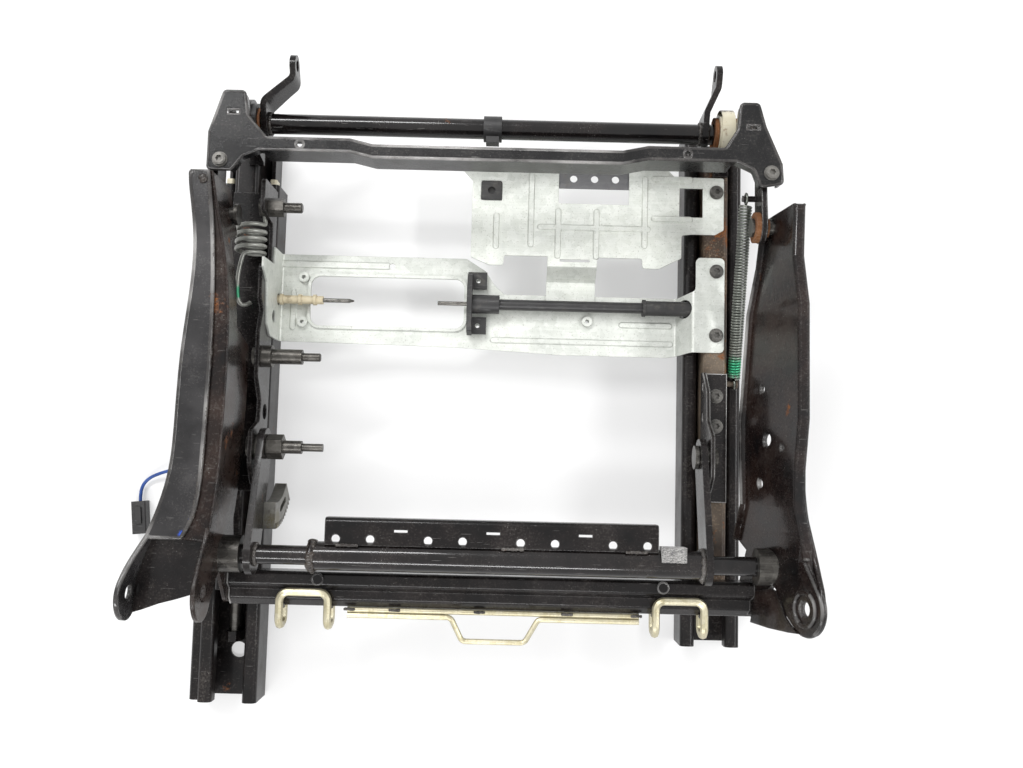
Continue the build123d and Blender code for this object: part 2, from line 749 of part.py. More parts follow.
def cross_member():
    """The pressed cross-member with a T-head at each end."""
    front = 181.0
    bar_depth = 10.0
    dip = 4.0
    plan = outline(
        [(-196, 216), (-180, 216), (-177, 197), (-163, front), (-101, front), (-84, front - dip)]
        + [(102, front - dip), (121, front), (178, front), (187, 196), (189, 216), (203, 216)]
        + [(208, 198), (220, 170), (221, 155), (204, 152), (199, 165), (186, front - bar_depth)]
        + [(121, front - bar_depth), (102, front - dip - bar_depth)]
        + [(-84, front - dip - bar_depth), (-101, front - bar_depth), (-168, front - bar_depth)]
        + [(-180, 166), (-188, 155), (-206, 155), (-206, 184)],
        3.5,
    )
    inner = offset(plan, -member_wall, kind=Kind.INTERSECTION)
    top = member_top
    bottom = top - member_depth
    tray = along_z(plan, bottom, top) - along_z(inner, bottom - 1, top - member_wall)
    # The walls are deep along the bar's rear side and shallow at the T-heads and the front
    lip = top - 9
    tray -= block(-240, -166, 140, 230, bottom - 1, lip)
    tray -= block(184, 240, 140, 230, bottom - 1, lip)
    tray -= block(-170, 186, front - dip - 3, 230, bottom - 1, lip)
    # The arms leave the T-heads at the rear
    tray -= block(left_arm_x - 1, left_toe + 1, 150, 158.5, bottom, top - member_wall)
    tray -= block(right_arm_x - 1, right_toe + 0.5, 145, 158.5, bottom, top - member_wall)
    for x, y in member_screws:
        tray -= pin_z(x, y, bottom, top + 1, member_screw_radius)
    for x, y in ((-138, 176), (150, 176)):
        tray -= pin_z(x, y, lip, top + 1, 2.3)
    tray -= block(-192, -184, 198, 201, lip, top + 1)
    return tray - block(194, 203, 196, 199, lip, top + 1)


def member_screw_set():
    return Compound(
        [torx_screw(x, y, member_top, 5.5, 3.2, member_screw_radius, 7.0) for x, y in member_screws]
    )


def tube_clip():
    """A plastic clip snapped round the front tube."""
    clip = ring_x(-3, 11, front_axis_y, front_axis_z, front_tube_radius + 2.2, front_tube_radius)
    clip += block(-1, 9, front_axis_y - 13, front_axis_y - 8, front_axis_z - 2, front_axis_z + 8)
    return clip - block(-4, 12, front_axis_y - 4, front_axis_y + 4, front_axis_z - 20, front_axis_z - 4)


def linkage_washers():
    """Steel rings on the front tube beside its bushes, and a washer and collar on the right pin."""
    rings = []
    for start in (right_saddle_x - 7.3, right_saddle_x + saddle_wall + 4.3):
        rings.append(ring_x(start, start + 3, front_axis_y, front_axis_z, 13, front_tube_radius))
    start = left_saddle_x + saddle_wall + 4.3
    rings.append(ring_x(start, start + 2, front_axis_y, front_axis_z, 12, front_tube_radius))
    face = right_arm_x + arm_wall
    rings.append(ring_x(right_arm_x - 4, right_arm_x, front_pin_y, front_pin_z, 11.5, pin_radius))
    rings.append(ring_x(face, face + 3, front_pin_y, front_pin_z, 7, pin_radius))
    return Compound(rings)


# Rear torque tube and its links
def rear_tube():
    tube = pin_x(-119, right_link_x, rear_tube_y, rear_tube_z, rear_tube_radius)
    tube += pin_x(left_journal_end, -119, rear_tube_y, rear_tube_z, journal_radius)
    tube += pin_x(right_link_x, right_journal_end, rear_tube_y, rear_tube_z, journal_radius)
    weld = Pos(-119, rear_tube_y, rear_tube_z) * Rot(0, 90, 0) * Torus(rear_tube_radius - 0.5, 2.2)
    return tube + weld


def rear_link(x):
    """A forged link between the rear pivot and the rear tube."""
    side = hull_of([(rear_axis_y, rear_axis_z, 14), (rear_tube_y, rear_tube_z, 15)])
    link = along_x(side, x, x + link_wall)
    link -= pin_x(x - 1, x + link_wall + 1, rear_axis_y, rear_axis_z, link_bore)
    link -= pin_x(x - 1, x + link_wall + 1, rear_tube_y, rear_tube_z, journal_radius)
    return link


def sector_gear():
    """The toothed sector of the height drive, centred on the rear pivot."""
    start, sweep_angle, teeth = 176.0, 52.0, 12
    wedge = make_face(
        Polyline(
            (0, 0),
            *[(90 * cos(radians(start + a)), 90 * sin(radians(start + a))) for a in (0, 26, 52)],
            close=True,
        )
    )
    face = (Circle(sector_radius) - Circle(sector_bore)) & wedge
    gap_face = outline([(-tooth_depth, -0.9), (1, -2.1), (1, 2.1), (-tooth_depth, 0.9)])
    step = sweep_angle / teeth
    for tooth in range(teeth):
        turn = start + step * (tooth + 0.5)
        face -= Rot(0, 0, turn) * Pos(sector_radius, 0) * gap_face
    inner = left_link_x + link_wall
    gear = along_x(Pos(rear_axis_y, rear_axis_z) * face, inner, inner + sector_width)
    slot = Rot(0, 0, start + 30) * Pos(sector_bore + 7, 0) * Rot(0, 0, 90) * SlotOverall(20, 5)
    gear -= along_x(Pos(rear_axis_y, rear_axis_z) * slot, inner - 1, inner + sector_width + 1)
    return gear


def perforated_strip():
    """The angle strip on the rear tube that the seat springs hook into."""
    lift = 7.0
    z = rear_tube_z + lift
    rear = rear_tube_y + sqrt(rear_tube_radius**2 - (lift - strip_wall / 2) ** 2)
    section = folded([(rear, z), (strip_front, z), (strip_front, z - 14)], strip_wall, 3)
    strip = along_x(section, strip_left, strip_right)
    pitch = 67.0
    for middle in [strip_left + 20.5 + pitch * n for n in range(4)]:
        for x in (middle - 12.5, middle + 12.5):
            hole = Pos(x, rear + 4.5, z) * Cylinder(3.2, 10)
            strip -= hole
    for n in range(3):
        x = strip_left + 55 + pitch * n
        strip -= block(x - 5, x + 5, strip_front - 9, strip_front - 7, z - 5, z + 5)
    return strip


# Seat side members
left_outer_line = (
    (-210, 147), (-208, 128), (-204, 94), (-205, 60), (-209, 17), (-211, -40), (-213, -66),
)
left_flare = ((-92, 0.24), (-114, 0.56), (-135, 0.88))  # Y, and share of the way out to the ear
left_inner_line = (
    (-194, 147), (-189, 120), (-182, 86), (-178, 50), (-177, 18), (-178, -38),
    (-181, -87), (-184, -116), (-185, -150), (-185, -176),
)


def member_outline(front, bottom, relief=0.0):
    """A side member seen from the side, with its backrest ear and its lower rear lobe."""
    lift = 10.5
    body = outline(
        [(front, bottom + lift), (front, side_top), (-128, side_top), (-150, side_top + 17)]
        + [(-150, 128), (-128, 100), (-104, bottom), (28, bottom), (38, bottom + relief + 1)]
        + [(102, bottom + max(relief, 2)), (112, bottom + lift)],
        3,
    )
    body += hull_of([(ear_y, ear_z, ear_radius), (ear_y + 34, 128, 22), (ear_y + 30, ear_z - 6, 6)])
    return body + hull_of([(-150, 84, 14), (-124, 98, 18), (-108, 112, 22)])


def left_side_outer():
    """The outer shell of the left side member: a wall, a top and an ear."""
    half = side_wall / 2
    end_x = half - half_width
    points = [(x + half, y) for x, y in left_outer_line]
    body_x = points[-1][0]
    points += [(body_x + share * (end_x - body_x), y) for y, share in left_flare]
    line = Spline(*points, (end_x, -158), (end_x, -176), tangents=[(0, -1), (0, -1)])
    wall = along_z(trace(line, side_wall), 60, side_top + 30)
    wall &= along_x(member_outline(member_front, side_bottom), -member_reach, -180)
    seam = [(-196, member_front), (-190, 94), (-188, 18), (-190, -60), (-195, -100), (-202, -114)]
    edge = points[:9]
    plan = make_face(
        Spline(*edge) + Line(edge[-1], seam[-1]) + Spline(*seam) + Line(seam[0], edge[0])
    )
    shell = wall + along_z(plan, side_top - side_wall, side_top)
    shell -= pin_x(-member_reach, -180, front_pin_y, front_pin_z, pin_hole_radius)
    return shell - pin_x(-member_reach, -180, ear_y, ear_z, ear_hole_radius)


def left_side_inner():
    """The inner shell of the left side member, lapped under the outer one's top."""
    half = side_wall / 2
    points = [(x - half, y) for x, y in left_inner_line]
    line = Spline(*points, tangents=[(0.2, -1), (0, -1)])
    wall = along_z(trace(line, side_wall), 60, side_top + 30)
    wall &= along_x(member_outline(member_front, side_bottom, spring_relief), -member_reach, -160)
    flange_top = side_top - side_wall
    wall -= block(-240, -150, -106, 160, flange_top, side_top + 40)
    edge = points[:8]
    back = [(-204, -114), (-198, -100), (-193, -60), (-191, 18), (-193, 94), (-200, member_front)]
    plan = make_face(
        Spline(*edge) + Line(edge[-1], back[0]) + Spline(*back) + Line(back[-1], edge[0])
    )
    shell = wall + along_z(plan, flange_top - side_wall, flange_top)
    shell -= pin_x(-member_reach, -160, front_pin_y, front_pin_z, pin_hole_radius)
    shell -= pin_x(-member_reach, -160, rear_tube_y, rear_tube_z, boss_radius)
    return shell - pin_x(-member_reach, -160, ear_y, ear_z, ear_hole_radius)


# Stations of the right side plate: y, x at the bottom, x at the top, height of the bottom
right_stations = (
    (134, 216, 223, 99),
    (96, 213, 222, 93),
    (62, 208, 226, 86),
    (-20, 204, 226, 80),
    (-56, 204, 223, 82),
    (-82, 205, 223, 80),
    (-100, (206 + right_low_x) / 2, (223 + right_high_x) / 2, 72),
    (-118, right_low_x, right_high_x, 68),
    (-168, right_low_x, right_high_x, 66),
)


def right_side_plate():
    """The right side member: one leaning pressed plate with turned edges and an ear."""
    sections = []
    for y, low, high, bottom in right_stations:
        line = FilletPolyline(
            (low - 5, bottom),
            (low, bottom),
            (high, side_top - 1),
            (high + 6, side_top - 1),
            (high + 6, side_top - 8),
            radius=2.2,
        )
        plane = Plane(origin=(0, y, 0), x_dir=(1, 0, 0), z_dir=(0, -1, 0))
        sections.append(plane * trace(line, side_wall))
    plate = loft(sections, ruled=True)
    plate &= along_x(member_outline(134, 62), 150, member_reach)
    plate -= block(190, member_reach, -190, -118, side_top - 10, side_top + 20)
    lean = radians(ear_lean)
    plane = Plane(
        origin=(right_ear_x, ear_y, ear_z), x_dir=(0, 1, 0), z_dir=(cos(lean), 0, -sin(lean))
    )
    ear = hull_of([(0, 0, ear_radius), (13, -14, 20), (27, -3, 5)]) - Circle(ear_hole_radius)
    plate += extrude(plane * ear, amount=ear_wall)
    ring = Circle(13) - Circle(10)
    plate += extrude(plane * ring, amount=-1.5)
    plate -= extrude(plane * Circle(ear_hole_radius), amount=20, both=True)
    plate -= pin_x(180, member_reach, front_pin_y, front_pin_z, pin_hole_radius)
    plate -= pin_x(150, member_reach, rear_tube_y, rear_tube_z, boss_radius)
    for y, z, radius in ((-34, 112, 5), (-40, 132, 2.5), (4, 104, 3), (-66, 104, 3.5)):
        plate -= pin_x(180, member_reach, y, z, radius)
    return plate


def rear_bushes():
    """The plain bushes of the side members, in which the rear tube turns."""
    bore = journal_radius + running_clearance
    left = ring_x(-188, -170, rear_tube_y, rear_tube_z, boss_radius, bore)
    right = ring_x(right_low_x + 4.5, right_low_x + 23.5, rear_tube_y, rear_tube_z, boss_radius, bore)
    return Compound([left, right])


def rear_beam(side_pieces):
    """The ridged rear beam, fitted between the two side members."""
    section = folded(
        [(-141, 74), (-141, 92), (-149, 92), (-153, 86), (-160, 86), (-165, 80), (-165, 72)],
        beam_wall,
        1.8,
    )
    beam = along_x(section, beam_left, right_low_x + 8)
    for piece in side_pieces:
        beam -= piece
    beam = sorted(beam.solids(), key=lambda solid: solid.volume)[-1]
    for x in (-117, 140):
        beam += pin_z(x, -145, 93, 95, 4.5)
    return beam


def anchor_hooks():
    """The two child-seat anchors, each one bent round wire welded to the rear beam."""
    places = (hook_middle_x - hook_spacing / 2, hook_middle_x + hook_spacing / 2)
    return Compound([anchor_hook(middle) for middle in places])


def anchor_hook(middle):
    half = hook_gap / 2
    low = 76.0
    high = 92.5
    back = -180.0
    front = -155.0
    points = [(middle - half, beam_back, low), (middle - half, back, low), (middle - half, back, high)]
    points += [(middle - half, front, high), (middle + half, front, high)]
    points += [(middle + half, back, high), (middle + half, back, low), (middle + half, beam_back, low)]
    return bent_wire(points, hook_wire, 6.5)


def rear_wires():
    """A straight wire welded behind the beam, and a second one with a loop in the middle."""
    y = beam_back - rod_radius
    straight = along_x(Pos(y, rod_z) * Circle(rod_radius), -96, 124)
    y = beam_back - 3 * rod_radius
    points = [(-96, y, rod_z), (-18, y, rod_z), (-9, -190, rod_z), (38, -190, rod_z)]
    points += [(48, y, rod_z), (124, y, rod_z)]
    return Compound([straight, bent_wire(points, rod_radius, 5)])


def felt_pad():
    pad = block(135, 153, rear_tube_y + 2, rear_tube_y + 13, rear_tube_z - 2, rear_tube_z + 12)
    return pad - pin_x(130, 160, rear_tube_y, rear_tube_z, rear_tube_radius)


def front_pins():
    """The shouldered pins that join the arms to the side members."""
    left = pin_x(-212.5, -184, front_pin_y, front_pin_z, pin_radius)
    left += pin_x(-212.5, -209.8, front_pin_y, front_pin_z, 8)
    left += pin_x(-186.5, -184, front_pin_y, front_pin_z, 8)
    right = pin_x(200, 226, front_pin_y, front_pin_z, pin_radius)
    right += pin_x(200, 202, front_pin_y, front_pin_z, 7)
    return Compound([left, right])


def left_spring():
    """The short fat spring, a coil of six-sided wire laid in straight pieces round its axis."""
    facets = 12
    steps = round(coil_turns * facets)
    toe = Vector(coil_front - left_studs[0], coil_z - stud_z, 0).normalized()
    toe *= stud_head + seat_clearance / 2
    side_x = coil_x + coil_radius
    points = [(side_x, left_studs[0] + toe.X, stud_z + toe.Y)]
    for step in range(steps + 1):
        angle = radians(360 / facets * step)
        y = coil_front + (coil_rear - coil_front) * step / steps
        points.append((coil_x + coil_radius * cos(angle), y, coil_z + coil_radius * sin(angle)))
    top = coil_z + coil_radius
    points += [(coil_x - 4, coil_rear - 7, top), (coil_x - 6.5, coil_rear - 18, top - 1)]
    points += [(coil_x - 6.5, 66, top - 3), (coil_x - 4, 62, top - 5), (coil_x, 61.5, top - 7)]
    points += [(coil_x + 3, 65, top - 9)]
    path = Polyline(*points)
    section = Plane(origin=path @ 0, z_dir=path % 0) * RegularPolygon(coil_wire, 6)
    return sweep(section, path=path, transition=Transition.RIGHT)


def right_spring():
    """The long close-wound spring, with an eye at each end."""
    start = Vector(*spring_rear)
    reach = Vector(*spring_front) - start
    length = reach.length - 2 * eye_radius
    pitch = length / spring_turns
    core = RegularPolygon(spring_outer - spring_ridge, 10)
    coil = extrude(Pos(0, 0, eye_radius) * core, amount=length)
    for turn in range(spring_turns):
        ridge = Pos(0, 0, eye_radius + (turn + 0.25) * pitch) * RegularPolygon(spring_outer, 10)
        coil += extrude(ridge, amount=pitch / 2)
    eye = Circle(eye_radius + spring_wire) - Circle(eye_radius - spring_wire)
    for z in (0, reach.length):
        coil += Pos(-spring_wire, 0, z) * extrude(Rot(0, 90, 0) * eye, amount=2 * spring_wire)
    plane = Plane(origin=start, x_dir=(1, 0, 0), z_dir=reach.normalized())
    return plane.location * coil


def spring_post():
    """The stub on the right upper rail that holds the long spring's rear eye."""
    y, z = spring_rear[1], spring_rear[2]
    rail_side = right_rail_x + neck_width / 2 - rail_wall / 2
    post = pin_x(rail_side, spring_rear[0] + 2.5, y, z, post_radius)
    return post + pin_x(spring_rear[0] + 1.5, spring_rear[0] + 3, y, z, 3.5)


# Track sensor and its cable
cable_route = [
    (strip_face - 10, sensor_y, 16),
    (strip_face - 25, sensor_y - 1, 13),
    (strip_face - 38, sensor_y - 4, 7),
    (strip_face - 50, sensor_y - 9, 4),
    (strip_face - 56, sensor_y - 18, 4),
    (strip_face - 55, sensor_y - 28, 5),
]


def track_sensor():
    sensor = block(strip_face - 9, strip_face, sensor_y - 11, sensor_y + 11, 8, 23)
    sensor = fillet(sensor.edges().filter_by(Axis.X), 2)
    return sensor + pin_x(strip_face - 10, strip_face - 9, sensor_y, 16, 3)


def sensor_cable():
    radii = []
    for before, corner, after in zip(cable_route, cable_route[1:], cable_route[2:]):
        first = Vector(*corner) - Vector(*before)
        second = Vector(*after) - Vector(*corner)
        turn = radians(first.get_angle(second))
        radii.append(0.45 * min(first.length, second.length) / tan(turn / 2))
    print("cable radii", [round(radius, 1) for radius in radii])
    path = FilletPolyline(*cable_route, radius=radii)
    tube = sweep(Plane(origin=path @ 0, z_dir=path % 0) * Circle(cable_radius), path=path)
    print("cable length", round(path.length, 1), "volume", round(tube.volume, 1),
          "section times length", round(pi * cable_radius**2 * path.length, 1))
    return tube


def sensor_connector():
    """The loose connector at the cable's end, lying on the floor."""
    body = Box(12, 27, 11)
    body = fillet(body.edges().filter_by(Axis.Y), 1.2)
    body += Pos(0, 2, 6.2) * Box(5, 14, 1.6)
    body -= Pos(0, -13.5, 0) * Box(8, 8, 7)
    end = Vector(*cable_route[-1])
    heading = Vector(*cable_route[-1]) - Vector(*cable_route[-2])
    turn = degrees(atan2(heading.Y, heading.X)) + 90
    return Pos(end.X, end.Y, 5.5) * Rot(0, 0, turn) * Pos(0, -13.5, 0) * body


parts = {
    "left_lower_rail": left_lower_rail(),
    "right_lower_rail": lower_rail(right_rail_x, right_rail_rear),
    "left_upper_rail": upper_rail(left_rail_x, 1),
    "right_upper_rail": right_upper_rail(),
    "left_rail_glides": rail_glides(left_rail_x),
    "right_rail_glides": rail_glides(right_rail_x),
    "left_lead_screw": lead_screw(left_rail_x, left_rail_rear),
    "right_lead_screw": lead_screw(right_rail_x, right_rail_rear),
    "left_gearbox": gearbox(left_rail_x, 1),
    "right_gearbox": gearbox(right_rail_x, -1),
    "left_upright": left_upright(),
    "right_upright": right_upright(),
    "left_front_upright": saddle(left_saddle_x, left_rail_x),
    "right_front_upright": saddle(right_saddle_x, right_rail_x),
    "left_front_bush": front_bush(left_saddle_x, 16),
    "right_front_bush": front_bush(right_saddle_x, 0),
    "motor_bracket": motor_bracket(),
    "module_bracket": module_bracket(),
    "rubber_plug": rubber_plug(),
    "hole_strip": hole_strip(),
    "rail_screws": rail_screws(),
    "rivet_nuts": rivet_nuts(),
    "motor_end_plate": motor_end_plate(),
    "right_shaft_sheath": right_shaft_sheath(),
    "right_shaft_sleeve": right_shaft_sleeve(),
    "right_shaft_core": right_shaft_core(),
    "left_shaft_sheath": left_shaft_sheath(),
    "left_shaft_core": left_shaft_core(),
    "nut_stud": nut_stud(),
    "collar_stud": collar_stud(),
    "rear_pivots": rear_pivots(),
    "front_tube": front_tube(),
    "left_lever": lever(left_lever_x, left_lever_tip_x),
    "right_lever": lever(right_lever_x, right_lever_tip_x),
    "left_swing_arm": swing_arm(left_arm_x, left_toe, member_screws[0]),
    "right_swing_arm": swing_arm(right_arm_x, right_toe, member_screws[1]),
    "cross_member": cross_member(),
    "member_screws": member_screw_set(),
    "tube_clip": tube_clip(),
    "linkage_washers": linkage_washers(),
    "front_pins": front_pins(),
    "rear_tube": rear_tube(),
    "left_rear_link": rear_link(left_link_x),
    "right_rear_link": rear_link(right_link_x),
    "sector_gear": sector_gear(),
    "perforated_strip": perforated_strip(),
    "left_side_outer": left_side_outer(),
    "left_side_inner": left_side_inner(),
    "right_side_plate": right_side_plate(),
    "rear_bushes": rear_bushes(),
    "anchor_hooks": anchor_hooks(),
    "rear_wires": rear_wires(),
    "felt_pad": felt_pad(),
    "left_spring": left_spring(),
    "right_spring": right_spring(),
    "track_sensor": track_sensor(),
    "sensor_cable": sensor_cable(),
    "sensor_connector": sensor_connector(),
}
parts["rear_beam"] = rear_beam([parts["left_side_inner"], parts["right_side_plate"]])

for name, part in parts.items():
    export_step(part, f"parts/{name}.step")
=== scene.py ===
import json
import random
from math import cos, pi, radians, sin

import bmesh
import bpy
from mathutils import Matrix, Vector
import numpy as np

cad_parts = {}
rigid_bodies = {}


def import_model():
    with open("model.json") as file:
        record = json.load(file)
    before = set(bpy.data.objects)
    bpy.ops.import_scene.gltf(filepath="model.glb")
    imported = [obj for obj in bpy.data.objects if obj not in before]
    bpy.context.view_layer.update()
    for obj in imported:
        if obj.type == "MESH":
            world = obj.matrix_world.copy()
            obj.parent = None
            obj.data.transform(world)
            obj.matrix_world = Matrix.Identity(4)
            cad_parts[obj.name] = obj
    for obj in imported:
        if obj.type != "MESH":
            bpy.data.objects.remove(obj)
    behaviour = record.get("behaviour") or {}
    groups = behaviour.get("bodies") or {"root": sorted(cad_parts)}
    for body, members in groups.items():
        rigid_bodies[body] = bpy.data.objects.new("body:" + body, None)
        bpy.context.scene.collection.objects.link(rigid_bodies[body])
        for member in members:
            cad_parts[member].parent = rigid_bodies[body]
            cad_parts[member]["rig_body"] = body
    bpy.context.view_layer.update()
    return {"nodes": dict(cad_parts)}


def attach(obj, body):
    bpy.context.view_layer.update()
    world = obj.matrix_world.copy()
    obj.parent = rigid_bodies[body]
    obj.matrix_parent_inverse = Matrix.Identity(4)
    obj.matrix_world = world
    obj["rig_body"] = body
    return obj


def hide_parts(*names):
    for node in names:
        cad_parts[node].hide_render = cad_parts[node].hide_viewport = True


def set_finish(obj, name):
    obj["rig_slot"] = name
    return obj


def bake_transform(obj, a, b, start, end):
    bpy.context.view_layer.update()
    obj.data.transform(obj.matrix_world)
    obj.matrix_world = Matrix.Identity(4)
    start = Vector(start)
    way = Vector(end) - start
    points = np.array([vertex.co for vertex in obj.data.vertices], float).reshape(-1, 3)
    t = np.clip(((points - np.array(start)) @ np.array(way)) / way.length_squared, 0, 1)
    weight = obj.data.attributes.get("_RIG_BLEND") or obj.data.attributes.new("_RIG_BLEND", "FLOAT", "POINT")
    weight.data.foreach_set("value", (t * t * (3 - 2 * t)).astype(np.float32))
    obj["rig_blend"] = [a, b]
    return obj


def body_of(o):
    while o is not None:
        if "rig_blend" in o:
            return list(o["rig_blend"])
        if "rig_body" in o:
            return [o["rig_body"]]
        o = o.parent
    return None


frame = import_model()
nodes = frame["nodes"]
random.seed(11)
print("frame loaded,", len(nodes), "nodes")

# Metres, with X to the right, Y to the front and Z up

cameraView = {
    "place": (0.0235, -0.062, 0.850),
    "tilt": 5.0,  # degrees forward of straight down
    "roll": 1.45,
    "lens": 35.33,
    "sensor": 36.0,
    "nearest": 0.01,
}
camera = bpy.data.objects.new("camera", bpy.data.cameras.new("camera"))
camera.data.lens = cameraView["lens"]
camera.data.sensor_width = cameraView["sensor"]
camera.data.clip_start = cameraView["nearest"]
bpy.context.scene.collection.objects.link(camera)
camera.matrix_world = (
    Matrix.Translation(cameraView["place"])
    @ Matrix.Rotation(radians(cameraView["tilt"]), 4, "X")
    @ Matrix.Rotation(radians(cameraView["roll"]), 4, "Z")
)
bpy.context.scene.camera = camera


# Shader maths as plain expressions
class Signal:
    def __init__(self, net, socket):
        self.net = net
        self.socket = socket

    def maths(self, operation, first, second, clamp=False):
        settings = {"operation": operation, "use_clamp": clamp}
        return self.net.node("ShaderNodeMath", settings, {0: first, 1: second})

    def __add__(self, other):
        return self.maths("ADD", self, other)

    def __radd__(self, other):
        return self.maths("ADD", other, self)

    def __sub__(self, other):
        return self.maths("SUBTRACT", self, other)

    def __rsub__(self, other):
        return self.maths("SUBTRACT", other, self)

    def __mul__(self, other):
        return self.maths("MULTIPLY", self, other)

    def __rmul__(self, other):
        return self.maths("MULTIPLY", other, self)

    def clamped(self):
        return self.maths("ADD", self, 0.0, clamp=True)


class Net:
    def __init__(self, holder):
        holder.use_nodes = True
        self.holder = holder
        self.tree = holder.node_tree
        self.tree.nodes.clear()
        self.place = self.node("ShaderNodeTexCoord", {}, {}, "Object")

    def node(self, kind, settings, inputs, out=0):
        made = self.tree.nodes.new(kind)
        for key, value in settings.items():
            setattr(made, key, value)
        for key, value in inputs.items():
            if isinstance(value, Signal):
                self.tree.links.new(value.socket, made.inputs[key])
            else:
                made.inputs[key].default_value = value
        return Signal(self, made.outputs[out]) if made.outputs else None

    def mix(self, factor, first, second):
        def shade(value):
            return value if isinstance(value, Signal) else (*value, 1.0)

        ends = {0: factor, 6: shade(first), 7: shade(second)}
        return self.node("ShaderNodeMix", {"data_type": "RGBA"}, ends, 2)

    def stretched(self, scale, turn=(0.0, 0.0, 0.0)):
        inputs = {"Vector": self.place, "Scale": scale, "Rotation": turn}
        return self.node("ShaderNodeMapping", {}, inputs)

    def noise(self, scale, detail=3.0, roughness=0.55, where=None):
        settings = {"Vector": where or self.place, "Scale": scale, "Detail": detail, "Roughness": roughness}
        return self.node("ShaderNodeTexNoise", {}, settings)

    def cells(self, scale, out="Distance", where=None):
        return self.node("ShaderNodeTexVoronoi", {}, {"Vector": where or self.place, "Scale": scale}, out)

    def steps(self, value, low, high):
        settings = {"Value": value, "From Min": low, "From Max": high, "To Min": 0.0, "To Max": 1.0}
        return self.node("ShaderNodeMapRange", {"clamp": True}, settings)

    def spot(self, centre, size, soft=0.35, wobble=0.5):
        ends = {0: self.place, 1: centre}
        away = self.node("ShaderNodeVectorMath", {"operation": "DISTANCE"}, ends, "Value")
        ragged = (self.noise(900.0, 2.0) - 0.5) * (size * wobble * 2)
        return self.steps(away + ragged, size, size * (1 - soft))

    def rounded(self, width):
        return self.node("ShaderNodeBevel", {"samples": 3}, {"Radius": width}, "Normal")

    def edges(self, width):
        # Bends and corners, where paint is thin and light catches; the paint lightens them, partly as worn
        # paint and partly as a painted highlight
        flat = self.node("ShaderNodeNewGeometry", {}, {}, "Normal")
        both = {0: self.rounded(width), 1: flat}
        likeness = self.node("ShaderNodeVectorMath", {"operation": "DOT_PRODUCT"}, both, "Value")
        return self.steps(likeness, 0.99, 0.90)

    def bump(self, height, strength, distance, width):
        inputs = {"Height": height, "Strength": strength, "Distance": distance}
        inputs["Normal"] = self.rounded(width)
        return self.node("ShaderNodeBump", {}, inputs, "Normal")

    def shown(self, shader, end="ShaderNodeOutputMaterial"):
        self.node(end, {}, {"Surface": shader})
        return self.holder

    def surface(self, varied, fixed):
        return self.shown(self.node("ShaderNodeBsdfPrincipled", {}, {**fixed, **varied}, "BSDF"))


paintPattern = {
    "broad": (9.0, 4.0, 0.6),  # scale, detail and roughness of each noise
    "cloud": (38.0, 5.0, 0.62),
    "fine": (620.0, 3.0, 0.6),
    "grain": (1900.0, 2.0, 0.5),
    "rust": (26.0, 6.0, 0.68),
    "scratch": (55.0, 3.0, 0.5),
    "scratchStretch": ((1.0, 26.0, 26.0), (0.3, 0.2, 0.9)),
    "flecks": 410.0,
    "fleckColour": (0.42, 0.41, 0.39),
    "scratchColour": (0.30, 0.29, 0.28),
    "rustColours": ((0.10, 0.030, 0.012), (0.26, 0.105, 0.035)),
    "tintSpan": (0.35, 0.7),  # from here to here in its noise, an effect grows from none to full
    "sheenSpan": (0.5, 0.72),
    "dustSpan": (0.53, 0.66),
    "fleckSpan": (0.12, 0.05),
    "fleckPatches": (0.5, 0.62),
    "rustSpan": (0.70, 0.76),
    "rustReach": 0.2,
    "rustGrain": (0.36, 0.5),
    "scratchSpan": (0.70, 0.72),
    "wearAndGlintSpan": (0.44, 0.56),
    "wearAndGlintWidth": 0.0009,
    "relief": 0.0006,
}


